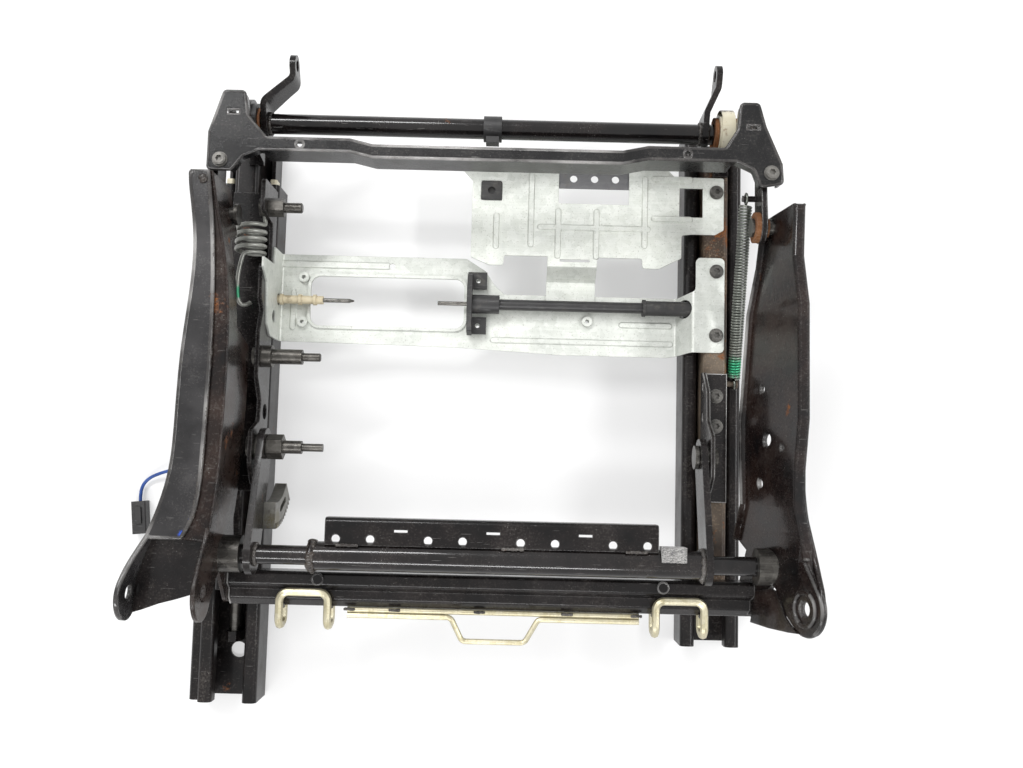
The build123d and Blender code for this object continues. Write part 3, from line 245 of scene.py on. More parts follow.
def sprayedSteel(name, look):
    # Sprayed or dipped paint over pressed steel, with dust, chips, rust bleed and dull handling marks, plus
    # painted highlights: broad lighter patches and lighter edges
    net, pattern = Net(bpy.data.materials.new(name)), paintPattern
    broad = net.noise(*pattern["broad"])
    cloud = net.noise(*pattern["cloud"])
    fine = net.noise(*pattern["fine"])
    grain = net.noise(*pattern["grain"])
    colour = net.mix(net.steps(cloud, *pattern["tintSpan"]), look["colour"], look["tint"])
    # Broad lighter patches: a painted highlight standing in for the paint's sheen
    colour = net.mix(net.steps(broad, *pattern["sheenSpan"]) * look["sheen"], colour, look["bloomAndHighlight"])
    dust = net.steps(fine * 0.6 + cloud * 0.4, *pattern["dustSpan"]) * look["dust"]
    colour = net.mix(dust, colour, look["dustColour"])
    fleck = net.steps(net.cells(pattern["flecks"]), *pattern["fleckSpan"])
    fleck = fleck * net.steps(cloud, *pattern["fleckPatches"]) * look["flecks"]
    colour = net.mix(fleck, colour, pattern["fleckColour"])
    rustCloud = net.noise(*pattern["rust"])
    rust = net.steps(rustCloud, *(end - look["rust"] * pattern["rustReach"] for end in pattern["rustSpan"]))
    rust = rust * net.steps(fine, *pattern["rustGrain"])
    rustColour = net.mix(net.steps(grain, 0.4, 0.6), *pattern["rustColours"])
    colour = net.mix(rust, colour, rustColour)
    for centre, size, shade in look["marks"]:
        colour = net.mix(net.spot(centre, size) * 0.9, colour, shade)
    scratch = net.noise(*pattern["scratch"], net.stretched(*pattern["scratchStretch"]))
    scratch = net.steps(scratch, *pattern["scratchSpan"]) * look["scratches"]
    colour = net.mix(scratch, colour, pattern["scratchColour"])
    # Lighter edges: partly worn paint, partly a painted highlight standing in for light caught on bent edges
    wearAndGlint = net.steps(fine * 0.5 + cloud * 0.5, *pattern["wearAndGlintSpan"])
    wearAndGlint = net.edges(pattern["wearAndGlintWidth"]) * wearAndGlint * look["edgeWearAndGlint"]
    colour = net.mix(wearAndGlint, colour, look["edgeColour"])
    rough = look["roughness"] + (cloud - 0.5) * 0.30 + dust * 0.30 + rust * 0.45
    rough = rough + (grain - 0.5) * 0.10
    height = fine * 0.35 + cloud * 0.8 + rust * 0.6 - fleck * 0.5 + grain * 0.12
    return net.surface(
        {
            "Base Color": colour,
            "Roughness": rough.clamped(),
            "Coat Weight": (look["coat"] * (1.0 - rust) * (1.0 - dust)).clamped(),
            "Normal": net.bump(height, look["bump"], pattern["relief"], look["rounding"]),
        },
        {"Specular IOR Level": look["shine"], "Coat Roughness": look["coatRoughness"]},
    )


platePattern = {
    "cloud": (30.0, 5.0, 0.62),
    "fine": (800.0, 3.0, 0.6),
    "speck": (2300.0, 2.0, 0.5),
    "brushed": (40.0, 3.0, 0.6),
    "stain": (17.0, 6.0, 0.7),
    "rust": (48.0, 6.0, 0.7),
    "rustColours": ((0.13, 0.045, 0.018), (0.33, 0.14, 0.05)),
    "tintSpan": (0.32, 0.68),
    "streakSpan": (0.45, 0.75),
    "speckSpan": (0.60, 0.68),
    "stainSpan": (0.60, 0.74),
    "rustSpan": (0.74, 0.78),
    "rustReach": 0.25,
    "rustGrain": (0.35, 0.5),
    "relief": 0.0004,
    "rounding": 0.0005,
}


def platedSteel(name, look):
    # Zinc or bare metal: spangle, brushed streaks, white bloom, oil stains and a little rust
    net, pattern = Net(bpy.data.materials.new(name)), platePattern
    spangle = net.cells(look["spangle"], "Color")
    grey = net.node("ShaderNodeSeparateColor", {}, {0: spangle}, 0)
    cloud = net.noise(*pattern["cloud"])
    fine = net.noise(*pattern["fine"])
    speck = net.noise(*pattern["speck"])
    brushed = net.noise(*pattern["brushed"], net.stretched(look["brush"]))
    colour = net.mix(net.steps(cloud, *pattern["tintSpan"]), look["colour"], look["tint"])
    colour = net.mix(grey * look["spangleDepth"], colour, look["bloomAndHighlight"])
    streaks = net.steps(brushed, *pattern["streakSpan"]) * look["streaks"]
    colour = net.mix(streaks, colour, look["bloomAndHighlight"])
    specks = net.steps(fine, *pattern["speckSpan"]) * look["specks"]
    colour = net.mix(specks, colour, look["stain"])
    stain = net.steps(net.noise(*pattern["stain"]), *pattern["stainSpan"]) * look["stains"]
    colour = net.mix(stain, colour, look["stain"])
    rustCloud = net.noise(*pattern["rust"])
    rust = net.steps(rustCloud, *(end - look["rust"] * pattern["rustReach"] for end in pattern["rustSpan"]))
    rust = rust * net.steps(fine, *pattern["rustGrain"])
    rustColour = net.mix(net.steps(speck, 0.4, 0.6), *pattern["rustColours"])
    colour = net.mix(rust, colour, rustColour)
    for centre, size, shade in look["marks"]:
        colour = net.mix(net.spot(centre, size) * 0.92, colour, shade)
    rough = look["roughness"] + (cloud - 0.5) * 0.25 + (speck - 0.5) * 0.2
    rough = rough + stain * 0.2 + rust * 0.4
    metal = look["metallic"] * (1.0 - rust) * (1.0 - specks * 0.6)
    height = fine * 0.4 + brushed * look["streaks"] * 0.6 + speck * 0.2 + rust * 0.7
    return net.surface(
        {
            "Base Color": colour,
            "Roughness": rough.clamped(),
            "Metallic": metal.clamped(),
            "Normal": net.bump(height, look["bump"], pattern["relief"], pattern["rounding"]),
        },
        {},
    )


plasticPattern = {
    "grain": (1500.0, 3.0, 0.6),
    "cloud": (60.0, 4.0, 0.6),
    "scuff": (90.0, 4.0, 0.6),
    "scuffStretch": (1.0, 9.0, 4.0),
    "dirt": (140.0, 5.0, 0.65),
    "tintSpan": (0.3, 0.7),
    "scuffSpan": (0.60, 0.68),
    "dirtSpan": (0.55, 0.66),
    "relief": 0.0003,
    "rounding": 0.0005,
    "shine": 0.45,
}


def mouldedPlastic(name, look):
    # Moulded plastic or rubber: fine grain, flow marks, scuffs and patches of dirt
    net, pattern = Net(bpy.data.materials.new(name)), plasticPattern
    grain = net.noise(*pattern["grain"])
    cloud = net.noise(*pattern["cloud"])
    streak = net.noise(*pattern["scuff"], net.stretched(pattern["scuffStretch"]))
    scuff = net.steps(streak, *pattern["scuffSpan"])
    colour = net.mix(net.steps(cloud, *pattern["tintSpan"]), look["colour"], look["tint"])
    colour = net.mix(scuff * look["scuffs"], colour, look["scuffColour"])
    dirt = net.steps(net.noise(*pattern["dirt"]), *pattern["dirtSpan"]) * look["dirt"]
    colour = net.mix(dirt, colour, look["dirtColour"])
    for centre, size, shade in look["marks"]:
        colour = net.mix(net.spot(centre, size) * 0.9, colour, shade)
    rough = look["roughness"] + (cloud - 0.5) * 0.2 + scuff * look["scuffs"] * 0.2
    rough = rough + (grain - 0.5) * 0.15
    height = grain * 0.6 + cloud * 0.4 + scuff * 0.3
    return net.surface(
        {
            "Base Color": colour,
            "Roughness": rough.clamped(),
            "Normal": net.bump(height, look["bump"], pattern["relief"], pattern["rounding"]),
        },
        {"Specular IOR Level": pattern["shine"]},
    )


feltLook = {
    "fibre": (700.0, 6.0, 0.75),
    "fibreStretch": (1.0, 3.0, 1.4),
    "clump": (170.0, 4.0, 0.6),
    "fibreColours": ((0.06, 0.06, 0.065), (0.50, 0.49, 0.47)),
    "clumpColour": (0.16, 0.15, 0.14),
    "fibreSpan": (0.42, 0.6),
    "clumpSpan": (0.55, 0.7),
    "sheen": 0.4,
    "shine": 0.2,
    "bump": 0.9,
    "relief": 0.0010,
    "rounding": 0.0005,
}


def pressedFelt(name, look):
    # Felt: crossed fibres in light and dark clumps
    net = Net(bpy.data.materials.new(name))
    fibre = net.noise(*look["fibre"], net.stretched(look["fibreStretch"]))
    clump = net.noise(*look["clump"])
    colour = net.mix(net.steps(fibre, *look["fibreSpan"]), *look["fibreColours"])
    colour = net.mix(net.steps(clump, *look["clumpSpan"]) * 0.5, colour, look["clumpColour"])
    height = fibre + clump * 0.5
    return net.surface(
        {
            "Base Color": colour,
            "Roughness": (0.92 + fibre * 0.08).clamped(),
            "Normal": net.bump(height, look["bump"], look["relief"], look["rounding"]),
        },
        {"Sheen Weight": look["sheen"], "Specular IOR Level": look["shine"]},
    )


bluePaint = (0.02, 0.07, 0.40)
greenPaint = (0.03, 0.32, 0.16)
paleGrease = (0.50, 0.44, 0.24)

paintBase = {
    "colour": (0.0032, 0.0029, 0.0031),
    "tint": (0.0105, 0.0075, 0.0072),
    # the lighter colour of the painted highlight patches, with sheen for how strongly they show
    "bloomAndHighlight": (0.024, 0.021, 0.021),
    "sheen": 0.5,
    "dust": 0.30,
    "dustColour": (0.085, 0.078, 0.070),
    "flecks": 0.6,
    "rust": 0.05,
    "scratches": 0.35,
    "roughness": 0.27,
    "coat": 0.22,
    "coatRoughness": 0.09,
    "shine": 0.15,
    # lighter edges, partly worn paint and partly a painted highlight
    "edgeWearAndGlint": 0.55,
    "rounding": 0.0010,
    "edgeColour": (0.16, 0.155, 0.15),
    "bump": 0.32,
    "marks": (),
}
platedBase = {
    "colour": (0.46, 0.48, 0.445),
    "tint": (0.61, 0.63, 0.585),
    "bloomAndHighlight": (0.80, 0.81, 0.78),
    "stain": (0.16, 0.15, 0.12),
    "spangle": 210.0,
    "spangleDepth": 0.30,
    "brush": (1.0, 18.0, 18.0),
    "streaks": 0.22,
    "specks": 0.45,
    "stains": 0.30,
    "rust": 0.02,
    "roughness": 0.50,
    "metallic": 0.45,
    "bump": 0.25,
    "marks": (),
}
plasticBase = {
    "colour": (0.012, 0.012, 0.013),
    "tint": (0.028, 0.027, 0.027),
    "scuffColour": (0.13, 0.13, 0.13),
    "dirtColour": (0.11, 0.10, 0.085),
    "scuffs": 0.5,
    "dirt": 0.25,
    "roughness": 0.45,
    "bump": 0.3,
    "marks": (),
}

paints = {
    "blackPaint": {},
    "railPaint": {"dust": 0.5, "rust": 0.16, "roughness": 0.38},
    "uprightPaint": {"dust": 0.5, "rust": 0.12, "flecks": 0.8},
    "tubePaint": {"coat": 0.5, "roughness": 0.20, "coatRoughness": 0.06, "dust": 0.2},
    "satinPaint": {
        "colour": (0.0045, 0.0044, 0.0048),
        "tint": (0.0105, 0.0100, 0.0105),
        "bloomAndHighlight": (0.026, 0.0255, 0.026),
        "coat": 0.25,
        "shine": 0.2,
        "roughness": 0.28,
        "bump": 0.45,
        "rounding": 0.0035,
        "flecks": 0.4,
    },
    "sidePaint": {
        "colour": (0.0085, 0.0080, 0.0085),
        "tint": (0.022, 0.021, 0.022),
        "bloomAndHighlight": (0.070, 0.067, 0.068),
        "sheen": 0.7,
        "shine": 0.30,
        "roughness": 0.25,
        "bump": 0.5,
        "rounding": 0.0030,
        "rust": 0.04,
        "marks": (
            ((-0.1938, -0.1089, 0.150), 0.0055, bluePaint),
            ((-0.1928, -0.1006, 0.150), 0.0045, bluePaint),
            ((-0.2010, -0.1110, 0.148), 0.0040, bluePaint),
            ((-0.2049, -0.1510, 0.130), 0.0100, paleGrease),
        ),
    },
    "innerPaint": {
        "tint": (0.022, 0.011, 0.008),
        "bloomAndHighlight": (0.040, 0.027, 0.022),
        "dust": 0.5,
        "rust": 0.22,
        "flecks": 0.9,
        "marks": (((-0.1739, -0.1174, 0.150), 0.0045, bluePaint),),
    },
    "rightPlatePaint": {
        "tint": (0.013, 0.0065, 0.0052),
        "bloomAndHighlight": (0.034, 0.018, 0.013),
        "sheen": 0.65,
        "coat": 0.35,
        "coatRoughness": 0.10,
        "bump": 0.55,
        "rounding": 0.0030,
    },
    # Rims: lighter paint with strong sheen patches, a painted highlight along the rolled edges
    "rimHighlightPaint": {
        "colour": (0.012, 0.011, 0.011),
        "tint": (0.060, 0.056, 0.054),
        "bloomAndHighlight": (0.42, 0.41, 0.40),
        "sheen": 0.95,
        "dust": 0.5,
        "flecks": 1.0,
        "scratches": 0.8,
        "coat": 0.6,
        "roughness": 0.2,
    },
    "leverPaint": {"bloomAndHighlight": (0.05, 0.05, 0.05), "scratches": 0.8},
    "rustyRail": {
        "colour": (0.022, 0.017, 0.014),
        "tint": (0.070, 0.045, 0.030),
        "bloomAndHighlight": (0.16, 0.13, 0.10),
        "sheen": 0.7,
        "dust": 0.9,
        "dustColour": (0.22, 0.17, 0.12),
        "flecks": 1.0,
        "rust": 0.55,
        "coat": 0.1,
        "roughness": 0.52,
        "bump": 0.6,
    },
    "rustyRing": {
        "colour": (0.10, 0.045, 0.022),
        "tint": (0.24, 0.10, 0.040),
        "bloomAndHighlight": (0.32, 0.20, 0.12),
        "dust": 0.6,
        "dustColour": (0.35, 0.22, 0.13),
        "rust": 0.8,
        "coat": 0.0,
        "roughness": 0.7,
        "bump": 0.8,
    },
    "weldSteel": {
        "colour": (0.010, 0.008, 0.0075),
        "tint": (0.040, 0.030, 0.024),
        "bloomAndHighlight": (0.16, 0.15, 0.14),
        "sheen": 0.8,
        "dust": 0.8,
        "rust": 0.3,
        "flecks": 1.0,
        "coat": 0.5,
        "roughness": 0.34,
    },
}
metals = {
    "zinc": {},
    "moduleZinc": {"tint": (0.58, 0.60, 0.55), "stains": 0.4},
    # The zinc made darker for the strip with three holes: painted shade standing in for the shade it lies in
    "darkZinc": {
        "colour": (0.10, 0.10, 0.105),
        "tint": (0.15, 0.15, 0.155),
        "bloomAndHighlight": (0.22, 0.22, 0.22),
        "stains": 0.6,
    },
    "boltSteel": {
        "colour": (0.018, 0.016, 0.015),
        "tint": (0.050, 0.046, 0.041),
        "bloomAndHighlight": (0.24, 0.23, 0.21),
        "metallic": 0.75,
        "roughness": 0.36,
        "rust": 0.25,
        "stains": 0.6,
        "bump": 0.5,
    },
    "screwSteel": {
        "colour": (0.060, 0.058, 0.055),
        "tint": (0.14, 0.135, 0.125),
        "bloomAndHighlight": (0.26, 0.25, 0.23),
        "metallic": 0.7,
        "roughness": 0.42,
        "rust": 0.4,
    },
    "rodSteel": {
        "colour": (0.045, 0.043, 0.040),
        "tint": (0.12, 0.115, 0.105),
        "bloomAndHighlight": (0.30, 0.29, 0.27),
        "metallic": 0.9,
        "roughness": 0.3,
    },
    "springSteel": {
        "colour": (0.070, 0.078, 0.068),
        "tint": (0.150, 0.160, 0.140),
        "bloomAndHighlight": (0.34, 0.35, 0.32),
        "metallic": 0.7,
        "roughness": 0.40,
        "rust": 0.14,
        "marks": (((0.2022, 0.0270, 0.048), 0.0105, greenPaint),),
    },
    "hookSteel": {
        "colour": (0.19, 0.195, 0.175),
        "tint": (0.33, 0.335, 0.305),
        "bloomAndHighlight": (0.50, 0.50, 0.47),
        "metallic": 0.5,
        "roughness": 0.42,
        "rust": 0.2,
        "marks": (((-0.1908, 0.0720, 0.078), 0.0060, greenPaint),),
    },
    "gearSteel": {
        "colour": (0.075, 0.072, 0.066),
        "tint": (0.17, 0.165, 0.15),
        "bloomAndHighlight": (0.36, 0.35, 0.32),
        "metallic": 0.75,
        "roughness": 0.4,
        "stains": 0.8,
        "marks": (
            ((-0.155, -0.1030, 0.080), 0.0100, (0.10, 0.085, 0.04)),
            ((-0.155, -0.1000, 0.096), 0.0070, paleGrease),
        ),
    },
    "wireZinc": {
        "colour": (0.30, 0.265, 0.15),
        "tint": (0.50, 0.455, 0.31),
        "bloomAndHighlight": (0.74, 0.72, 0.62),
        "stain": (0.15, 0.105, 0.045),
        "spangleDepth": 0.25,
        "stains": 0.55,
        "metallic": 0.65,
        "roughness": 0.38,
        "rust": 0.18,
        "brush": (18.0, 2.0, 18.0),
    },
}
plastics = {
    "beigePlastic": {
        "colour": (0.50, 0.42, 0.27),
        "tint": (0.62, 0.55, 0.40),
        "scuffColour": (0.70, 0.66, 0.55),
        "dirtColour": (0.20, 0.15, 0.09),
        "dirt": 0.6,
    },
    "creamPlastic": {
        "colour": (0.62, 0.57, 0.42),
        "tint": (0.72, 0.68, 0.55),
        "scuffColour": (0.45, 0.33, 0.18),
        "dirtColour": (0.24, 0.14, 0.07),
        "dirt": 0.8,
        "roughness": 0.4,
        "marks": tuple(((x, 0.2225, 0.0905), 0.0105, (0.030, 0.018, 0.012)) for x in (0.1800, 0.1900)),
    },
    "blackPlastic": {},
    "shaftPlastic": {"roughness": 0.36, "scuffs": 0.3, "dirt": 0.12},
    "softRubber": {
        "colour": (0.016, 0.016, 0.016),
        "tint": (0.034, 0.033, 0.032),
        "roughness": 0.62,
        "bump": 0.5,
    },
    "blueLead": {
        "colour": (0.012, 0.045, 0.20),
        "tint": (0.020, 0.075, 0.30),
        "scuffColour": (0.10, 0.16, 0.34),
        "dirtColour": (0.05, 0.05, 0.06),
        "roughness": 0.4,
    },
}
kinds = (
    (sprayedSteel, paintBase, paints),
    (platedSteel, platedBase, metals),
    (mouldedPlastic, plasticBase, plastics),
)
finish = {
    name: make(name, {**base, **look}) for make, base, looks in kinds for name, look in looks.items()
}
finish["felt"] = pressedFelt("felt", feltLook)
print("finishes made:", len(finish))

nodeFinish = {
    "blackPaint": "left_front_upright right_front_upright left_lever left_swing_arm right_swing_arm "
    "left_rear_link right_rear_link perforated_strip rear_beam",
    "railPaint": "left_lower_rail right_lower_rail left_upper_rail",
    "uprightPaint": "left_upright right_upright",
    "tubePaint": "front_tube rear_tube",
    "satinPaint": "cross_member",
    "sidePaint": "left_side_outer",
    "innerPaint": "left_side_inner",
    "rightPlatePaint": "right_side_plate",
    "leverPaint": "right_lever",
    "rustyRail": "right_upper_rail",
    "rustyRing": "linkage_washers",
    "zinc": "motor_bracket rivet_nuts",
    "moduleZinc": "module_bracket",
    "darkZinc": "hole_strip",
    "boltSteel": "nut_stud collar_stud rear_pivots front_pins rear_bushes",
    "screwSteel": "rail_screws member_screws",
    "rodSteel": "left_lead_screw right_lead_screw left_shaft_core right_shaft_core",
    "springSteel": "left_spring right_spring",
    "gearSteel": "sector_gear",
    "wireZinc": "anchor_hooks rear_wires",
    "beigePlastic": "left_shaft_sheath",
    "creamPlastic": "right_front_bush left_rail_glides right_rail_glides",
    "blackPlastic": "left_front_bush motor_end_plate tube_clip track_sensor sensor_connector "
    "left_gearbox right_gearbox",
    "shaftPlastic": "right_shaft_sheath",
    "softRubber": "right_shaft_sleeve rubber_plug",
    "blueLead": "sensor_cable",
    "felt": "felt_pad",
}
for name, members in nodeFinish.items():
    for member in members.split():
        mesh = nodes[member].data
        mesh.materials.clear()
        mesh.materials.append(finish[name])


modelling = {"sharpAngle": 38.0, "curveSteps": 8, "rolledSteps": 5}


def placed(name, data, body, slot):
    piece = bpy.data.objects.new(name, data)
    bpy.context.scene.collection.objects.link(piece)
    if body:
        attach(piece, body)
    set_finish(piece, slot)
    return piece


def asPiece(name, shape, body, material, slot):
    mesh = bpy.data.meshes.new(name)
    shape.to_mesh(mesh)
    shape.free()
    mesh.materials.append(finish[material])
    mesh.shade_smooth()
    mesh.set_sharp_from_angle(angle=radians(modelling["sharpAngle"]))
    return placed(name, mesh, body, slot)


def roundCurve(name, radius, sides, material):
    curve = bpy.data.curves.new(name, "CURVE")
    curve.dimensions = "3D"
    curve.bevel_depth = radius
    curve.bevel_resolution = sides
    curve.use_fill_caps = True
    curve.materials.append(finish[material])
    return curve


def tubeAlong(name, points, radius, body, material, slot, order=3, sides=3):
    curve = roundCurve(name, radius, sides, material)
    curve.resolution_u = modelling["curveSteps"]
    line = curve.splines.new("NURBS")
    line.points.add(len(points) - 1)
    for target, point in zip(line.points, points):
        target.co = (*point, 1.0)
    line.order_u = order
    line.use_endpoint_u = True
    return placed(name, curve, body, slot)


def turnedToMesh(curvePiece, name):
    graph = bpy.context.evaluated_depsgraph_get()
    mesh = bpy.data.meshes.new_from_object(curvePiece.evaluated_get(graph))
    mesh.shade_smooth()
    piece = placed(name, mesh, body_of(curvePiece)[0], curvePiece["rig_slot"])
    bpy.data.objects.remove(curvePiece)
    return piece


def rolledEdge(name, points, radius, body, material, slot):
    # A rounded rim laid along a sheet's edge
    line = tubeAlong(name + "Line", points, radius, body, material, slot)
    line.data.resolution_u = modelling["rolledSteps"]
    return turnedToMesh(line, name)


bead = {"size": (0.85, 1.15), "jitter": 0.15, "ripple": 0.72}


def weldBead(name, points, radius, body, flat=0.6, spacing=0.75):
    # A row of overlapping ripples laid along a line
    shape = bmesh.new()
    left = 0.0
    for start, end in zip(points, points[1:]):
        a, b = Vector(start), Vector(end)
        run = (b - a).length
        heading = (b - a).to_track_quat("X", "Z").to_matrix().to_4x4()
        while left < run:
            at = a.lerp(b, left / run)
            size = radius * random.uniform(*bead["size"])
            jitter = Vector([random.uniform(-bead["jitter"], bead["jitter"]) * radius for _ in range(3)])
            stretch = Matrix.Diagonal((bead["ripple"], 1.0, flat, 1.0))
            place = Matrix.Translation(at + jitter) @ heading @ stretch
            bmesh.ops.create_icosphere(shape, subdivisions=2, radius=size, matrix=place)
            left += radius * spacing
        left -= run
    return asPiece(name, shape, body, "weldSteel", "black_paint")


def ringPoints(x, y, z, radius, start, end, count):
    turns = [radians(start + (end - start) * n / (count - 1)) for n in range(count)]
    return [(x, y + radius * cos(a), z + radius * sin(a)) for a in turns]


lead = {
    "route": [
        (-0.239, -0.066, 0.016),
        (-0.254, -0.067, 0.013),
        (-0.267, -0.070, 0.007),
        (-0.279, -0.075, 0.004),
        (-0.285, -0.084, 0.004),
        (-0.284, -0.094, 0.005),
    ],
    "radius": 0.0014,
    "length": 0.0634,
}
sensorLead = tubeAlong("sensorLead", lead["route"], lead["radius"], "left_rail", "blueLead", "cable_blue")
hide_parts("sensor_cable")
print("lead laid")

longCoil = {
    "rear": (0.2025, 0.013, 0.043),
    "front": (0.199, 0.150, 0.099),
    "coilRadius": 0.0043,
    "wire": 0.0009,
    "turns": 62,
    "stepsPerTurn": 14,
    "eye": 0.0039,
    "eyeShare": 0.93,  # how much of a full ring each eye is
    "eyeSteps": 26,
    "eyeTurn": 0.25,
}


def wireRing(shape, radius, away, sides=8):
    # A round wire's section, standing ready to be spun round Z
    turn = Matrix.Translation((away, 0, 0)) @ Matrix.Rotation(pi / 2, 4, "X")
    made = bmesh.ops.create_circle(shape, segments=sides, radius=radius, cap_ends=False, matrix=turn)
    return made["verts"] + list(dict.fromkeys(edge for vert in made["verts"] for edge in vert.link_edges))


def longSpring(look):
    shape = bmesh.new()
    rear, front = Vector(look["rear"]), Vector(look["front"])
    direction = front - rear
    reach = direction.length
    start = look["eye"] + look["wire"]
    steps = look["turns"] * look["stepsPerTurn"]
    rise = (reach - 2 * start) / steps
    section = wireRing(shape, look["wire"], look["coilRadius"])
    corners = [part for part in section if isinstance(part, bmesh.types.BMVert)]
    bmesh.ops.translate(shape, verts=corners, vec=(0, 0, start))
    straightUp = {"cent": (0, 0, 0), "axis": (0, 0, 1), "use_merge": False}
    coil = {"dvec": (0, 0, rise), "angle": 2 * pi * look["turns"], "steps": steps}
    bmesh.ops.spin(shape, geom=section, **straightUp, **coil)
    eye = {"dvec": (0, 0, 0), "angle": 2 * pi * look["eyeShare"], "steps": look["eyeSteps"]}
    for end in (0.0, reach):  # the closed eyes at the ends
        inwards = 1 if end == 0 else -1
        wound = set(shape.verts)
        bmesh.ops.spin(shape, geom=wireRing(shape, look["wire"], look["eye"]), **straightUp, **eye)
        tilt = Matrix.Rotation(-inwards * pi / 2 + look["eyeTurn"], 4, "Y")
        place = Matrix.Translation((0, 0, end)) @ tilt @ Matrix.Rotation(pi / 2, 4, "X")
        added = [vert for vert in shape.verts if vert not in wound]
        bmesh.ops.transform(shape, matrix=place, verts=added)
    bmesh.ops.recalc_face_normals(shape, faces=shape.faces)
    place = Matrix.Translation(rear) @ direction.to_track_quat("Z", "X").to_matrix().to_4x4()
    bmesh.ops.transform(shape, matrix=place, verts=shape.verts)
    return asPiece("longCoil", shape, None, "springSteel", "spring_steel")


rightCoil = longSpring(longCoil)
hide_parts("right_spring")
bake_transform(rightCoil, "carriage", "front_swing", start=longCoil["rear"], end=longCoil["front"])

shortCoil = {
    "axis": (-0.1848, 0.070),  # X and Z of the coil's middle
    "front": 0.127,
    "rear": 0.103,
    "coilRadius": 0.0112,
    "wire": 0.0017,
    "turns": 4.25,
    "pointsPerTurn": 14,
    "curveSteps": 3,
    "tail": ((0.1336, 0.0755), (0.1300, 0.0725)),  # Y and Z before the coil
    "leg": ((0.0040, 0.096, 0.0), (0.0063, 0.085, 0.001), (0.0066, 0.075, 0.002), (0.0063, 0.0665, 0.003)),
    "hook": ((0.0040, 0.0622, 0.005), (0.0004, 0.0618, 0.007), (-0.0026, 0.0650, 0.009)),
}


def shortSpringLine(look):
    x, z = look["axis"]
    line = [(x + look["coilRadius"], y, height) for y, height in look["tail"]]
    count = round(look["turns"] * look["pointsPerTurn"])
    for n in range(count + 1):
        angle = 2 * pi * n / look["pointsPerTurn"]
        y = look["front"] + (look["rear"] - look["front"]) * n / count
        line.append((x + look["coilRadius"] * cos(angle), y, z + look["coilRadius"] * sin(angle)))
    top = z + look["coilRadius"]
    line += [(x - out, y, top - drop) for out, y, drop in look["leg"] + look["hook"]]
    return line


coilPoints = shortSpringLine(shortCoil)
coilLine = tubeAlong(
    "shortCoilLine", coilPoints, shortCoil["wire"], "carriage", "hookSteel", "spring_steel", order=4, sides=4
)
coilLine.data.resolution_u = shortCoil["curveSteps"]
leftCoil = turnedToMesh(coilLine, "shortCoil")
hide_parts("left_spring")
print("springs wound")

threads = {
    "nutStud": {"x": (-0.1570, -0.1440), "place": (0.139, 0.080), "radius": 0.0041, "pitch": 0.00125},
    "collarStud": {"x": (-0.1375, -0.1250), "place": (0.022, 0.080), "radius": 0.0033, "pitch": 0.0010},
    "pivotEnd": {"x": (-0.1345, -0.1195), "place": (-0.0475, 0.084), "radius": 0.0031, "pitch": 0.0010},
}
threadForm = {"steps": 14, "depth": 0.42, "merge": 0.00002}  # depth is a share of the pitch


def thread(name, look):
    shape = bmesh.new()
    steps, pitch = threadForm["steps"], look["pitch"]
    turns = int((look["x"][1] - look["x"][0]) / pitch)
    y, z = look["place"]
    root = look["radius"] - pitch * threadForm["depth"]
    corners = [(0.0, root), (pitch * 0.5, look["radius"]), (pitch, root)]
    made = [shape.verts.new((look["x"][0] + along, y, z + away)) for along, away in corners]
    edges = [shape.edges.new(pair) for pair in zip(made, made[1:])]
    helix = {"dvec": (pitch / steps, 0, 0), "angle": 2 * pi * (turns - 1), "steps": steps * (turns - 1)}
    aboutX = {"cent": (0, y, z), "axis": (1, 0, 0), "use_merge": False}
    bmesh.ops.spin(shape, geom=made + edges, **aboutX, **helix)
    bmesh.ops.remove_doubles(shape, verts=shape.verts, dist=threadForm["merge"])
    bmesh.ops.recalc_face_normals(shape, faces=shape.faces)
    return asPiece(name + "Thread", shape, "carriage", "boltSteel", "steel")


for name, look in threads.items():
    thread(name, look)


screwLook = {
    "radius": 0.0049,
    "height": 0.0031,
    "flange": 0.0007,
    "flangeWidth": 0.16,  # a share of the radius
    "shoulders": ((0.52, 0.06), (0.22, 0.16), (0.14, 0.22)),  # rise and inset, as shares
    "socket": 0.0021,
    "socketDepth": 0.62,
    "lobes": 6,
    "lobeDepth": 0.15,
    "sides": 36,
    "clear": 0.00003,
    "merge": 0.000005,
}


def lobedScrew(shape, x, y, z, look):
    # A round head on a thin flange, with a six-lobed socket
    radius, height = look["radius"], look["height"]
    place = Matrix.Translation((x, y, z + look["clear"]))
    width = radius * (1 + look["flangeWidth"])
    flange = bmesh.ops.create_circle(shape, segments=look["sides"], radius=width, cap_ends=True, matrix=place)
    face = flange["verts"][0].link_faces[0]
    if face.normal.z < 0:
        face.normal_flip()

    def lifted(current, rise, inset):
        current = bmesh.ops.extrude_discrete_faces(shape, faces=[current])["faces"][0]
        bmesh.ops.translate(shape, verts=current.verts, vec=(0, 0, rise))
        if inset:
            bmesh.ops.inset_region(shape, faces=[current], thickness=inset, depth=0.0)
        return current

    face = lifted(face, look["flange"], radius * look["flangeWidth"])
    for rise, inset in look["shoulders"]:
        face = lifted(face, height * rise, radius * inset)
    middle = face.calc_center_median()
    for vert in face.verts:
        away = vert.co - middle
        turn = Vector((1, 0, 0)).angle(away) if away.length else 0
        lobe = 1 + look["lobeDepth"] * cos(look["lobes"] * turn)
        vert.co = middle + away.normalized() * look["socket"] * lobe
    lifted(face, -height * look["socketDepth"], 0)


def screwSet(name, places, body, look, slot):
    shape = bmesh.new()
    for x, y, z in places:
        lobedScrew(shape, x, y, z, look)
    bmesh.ops.remove_doubles(shape, verts=shape.verts, dist=look["merge"])
    return asPiece(name, shape, body, "screwSteel", slot)


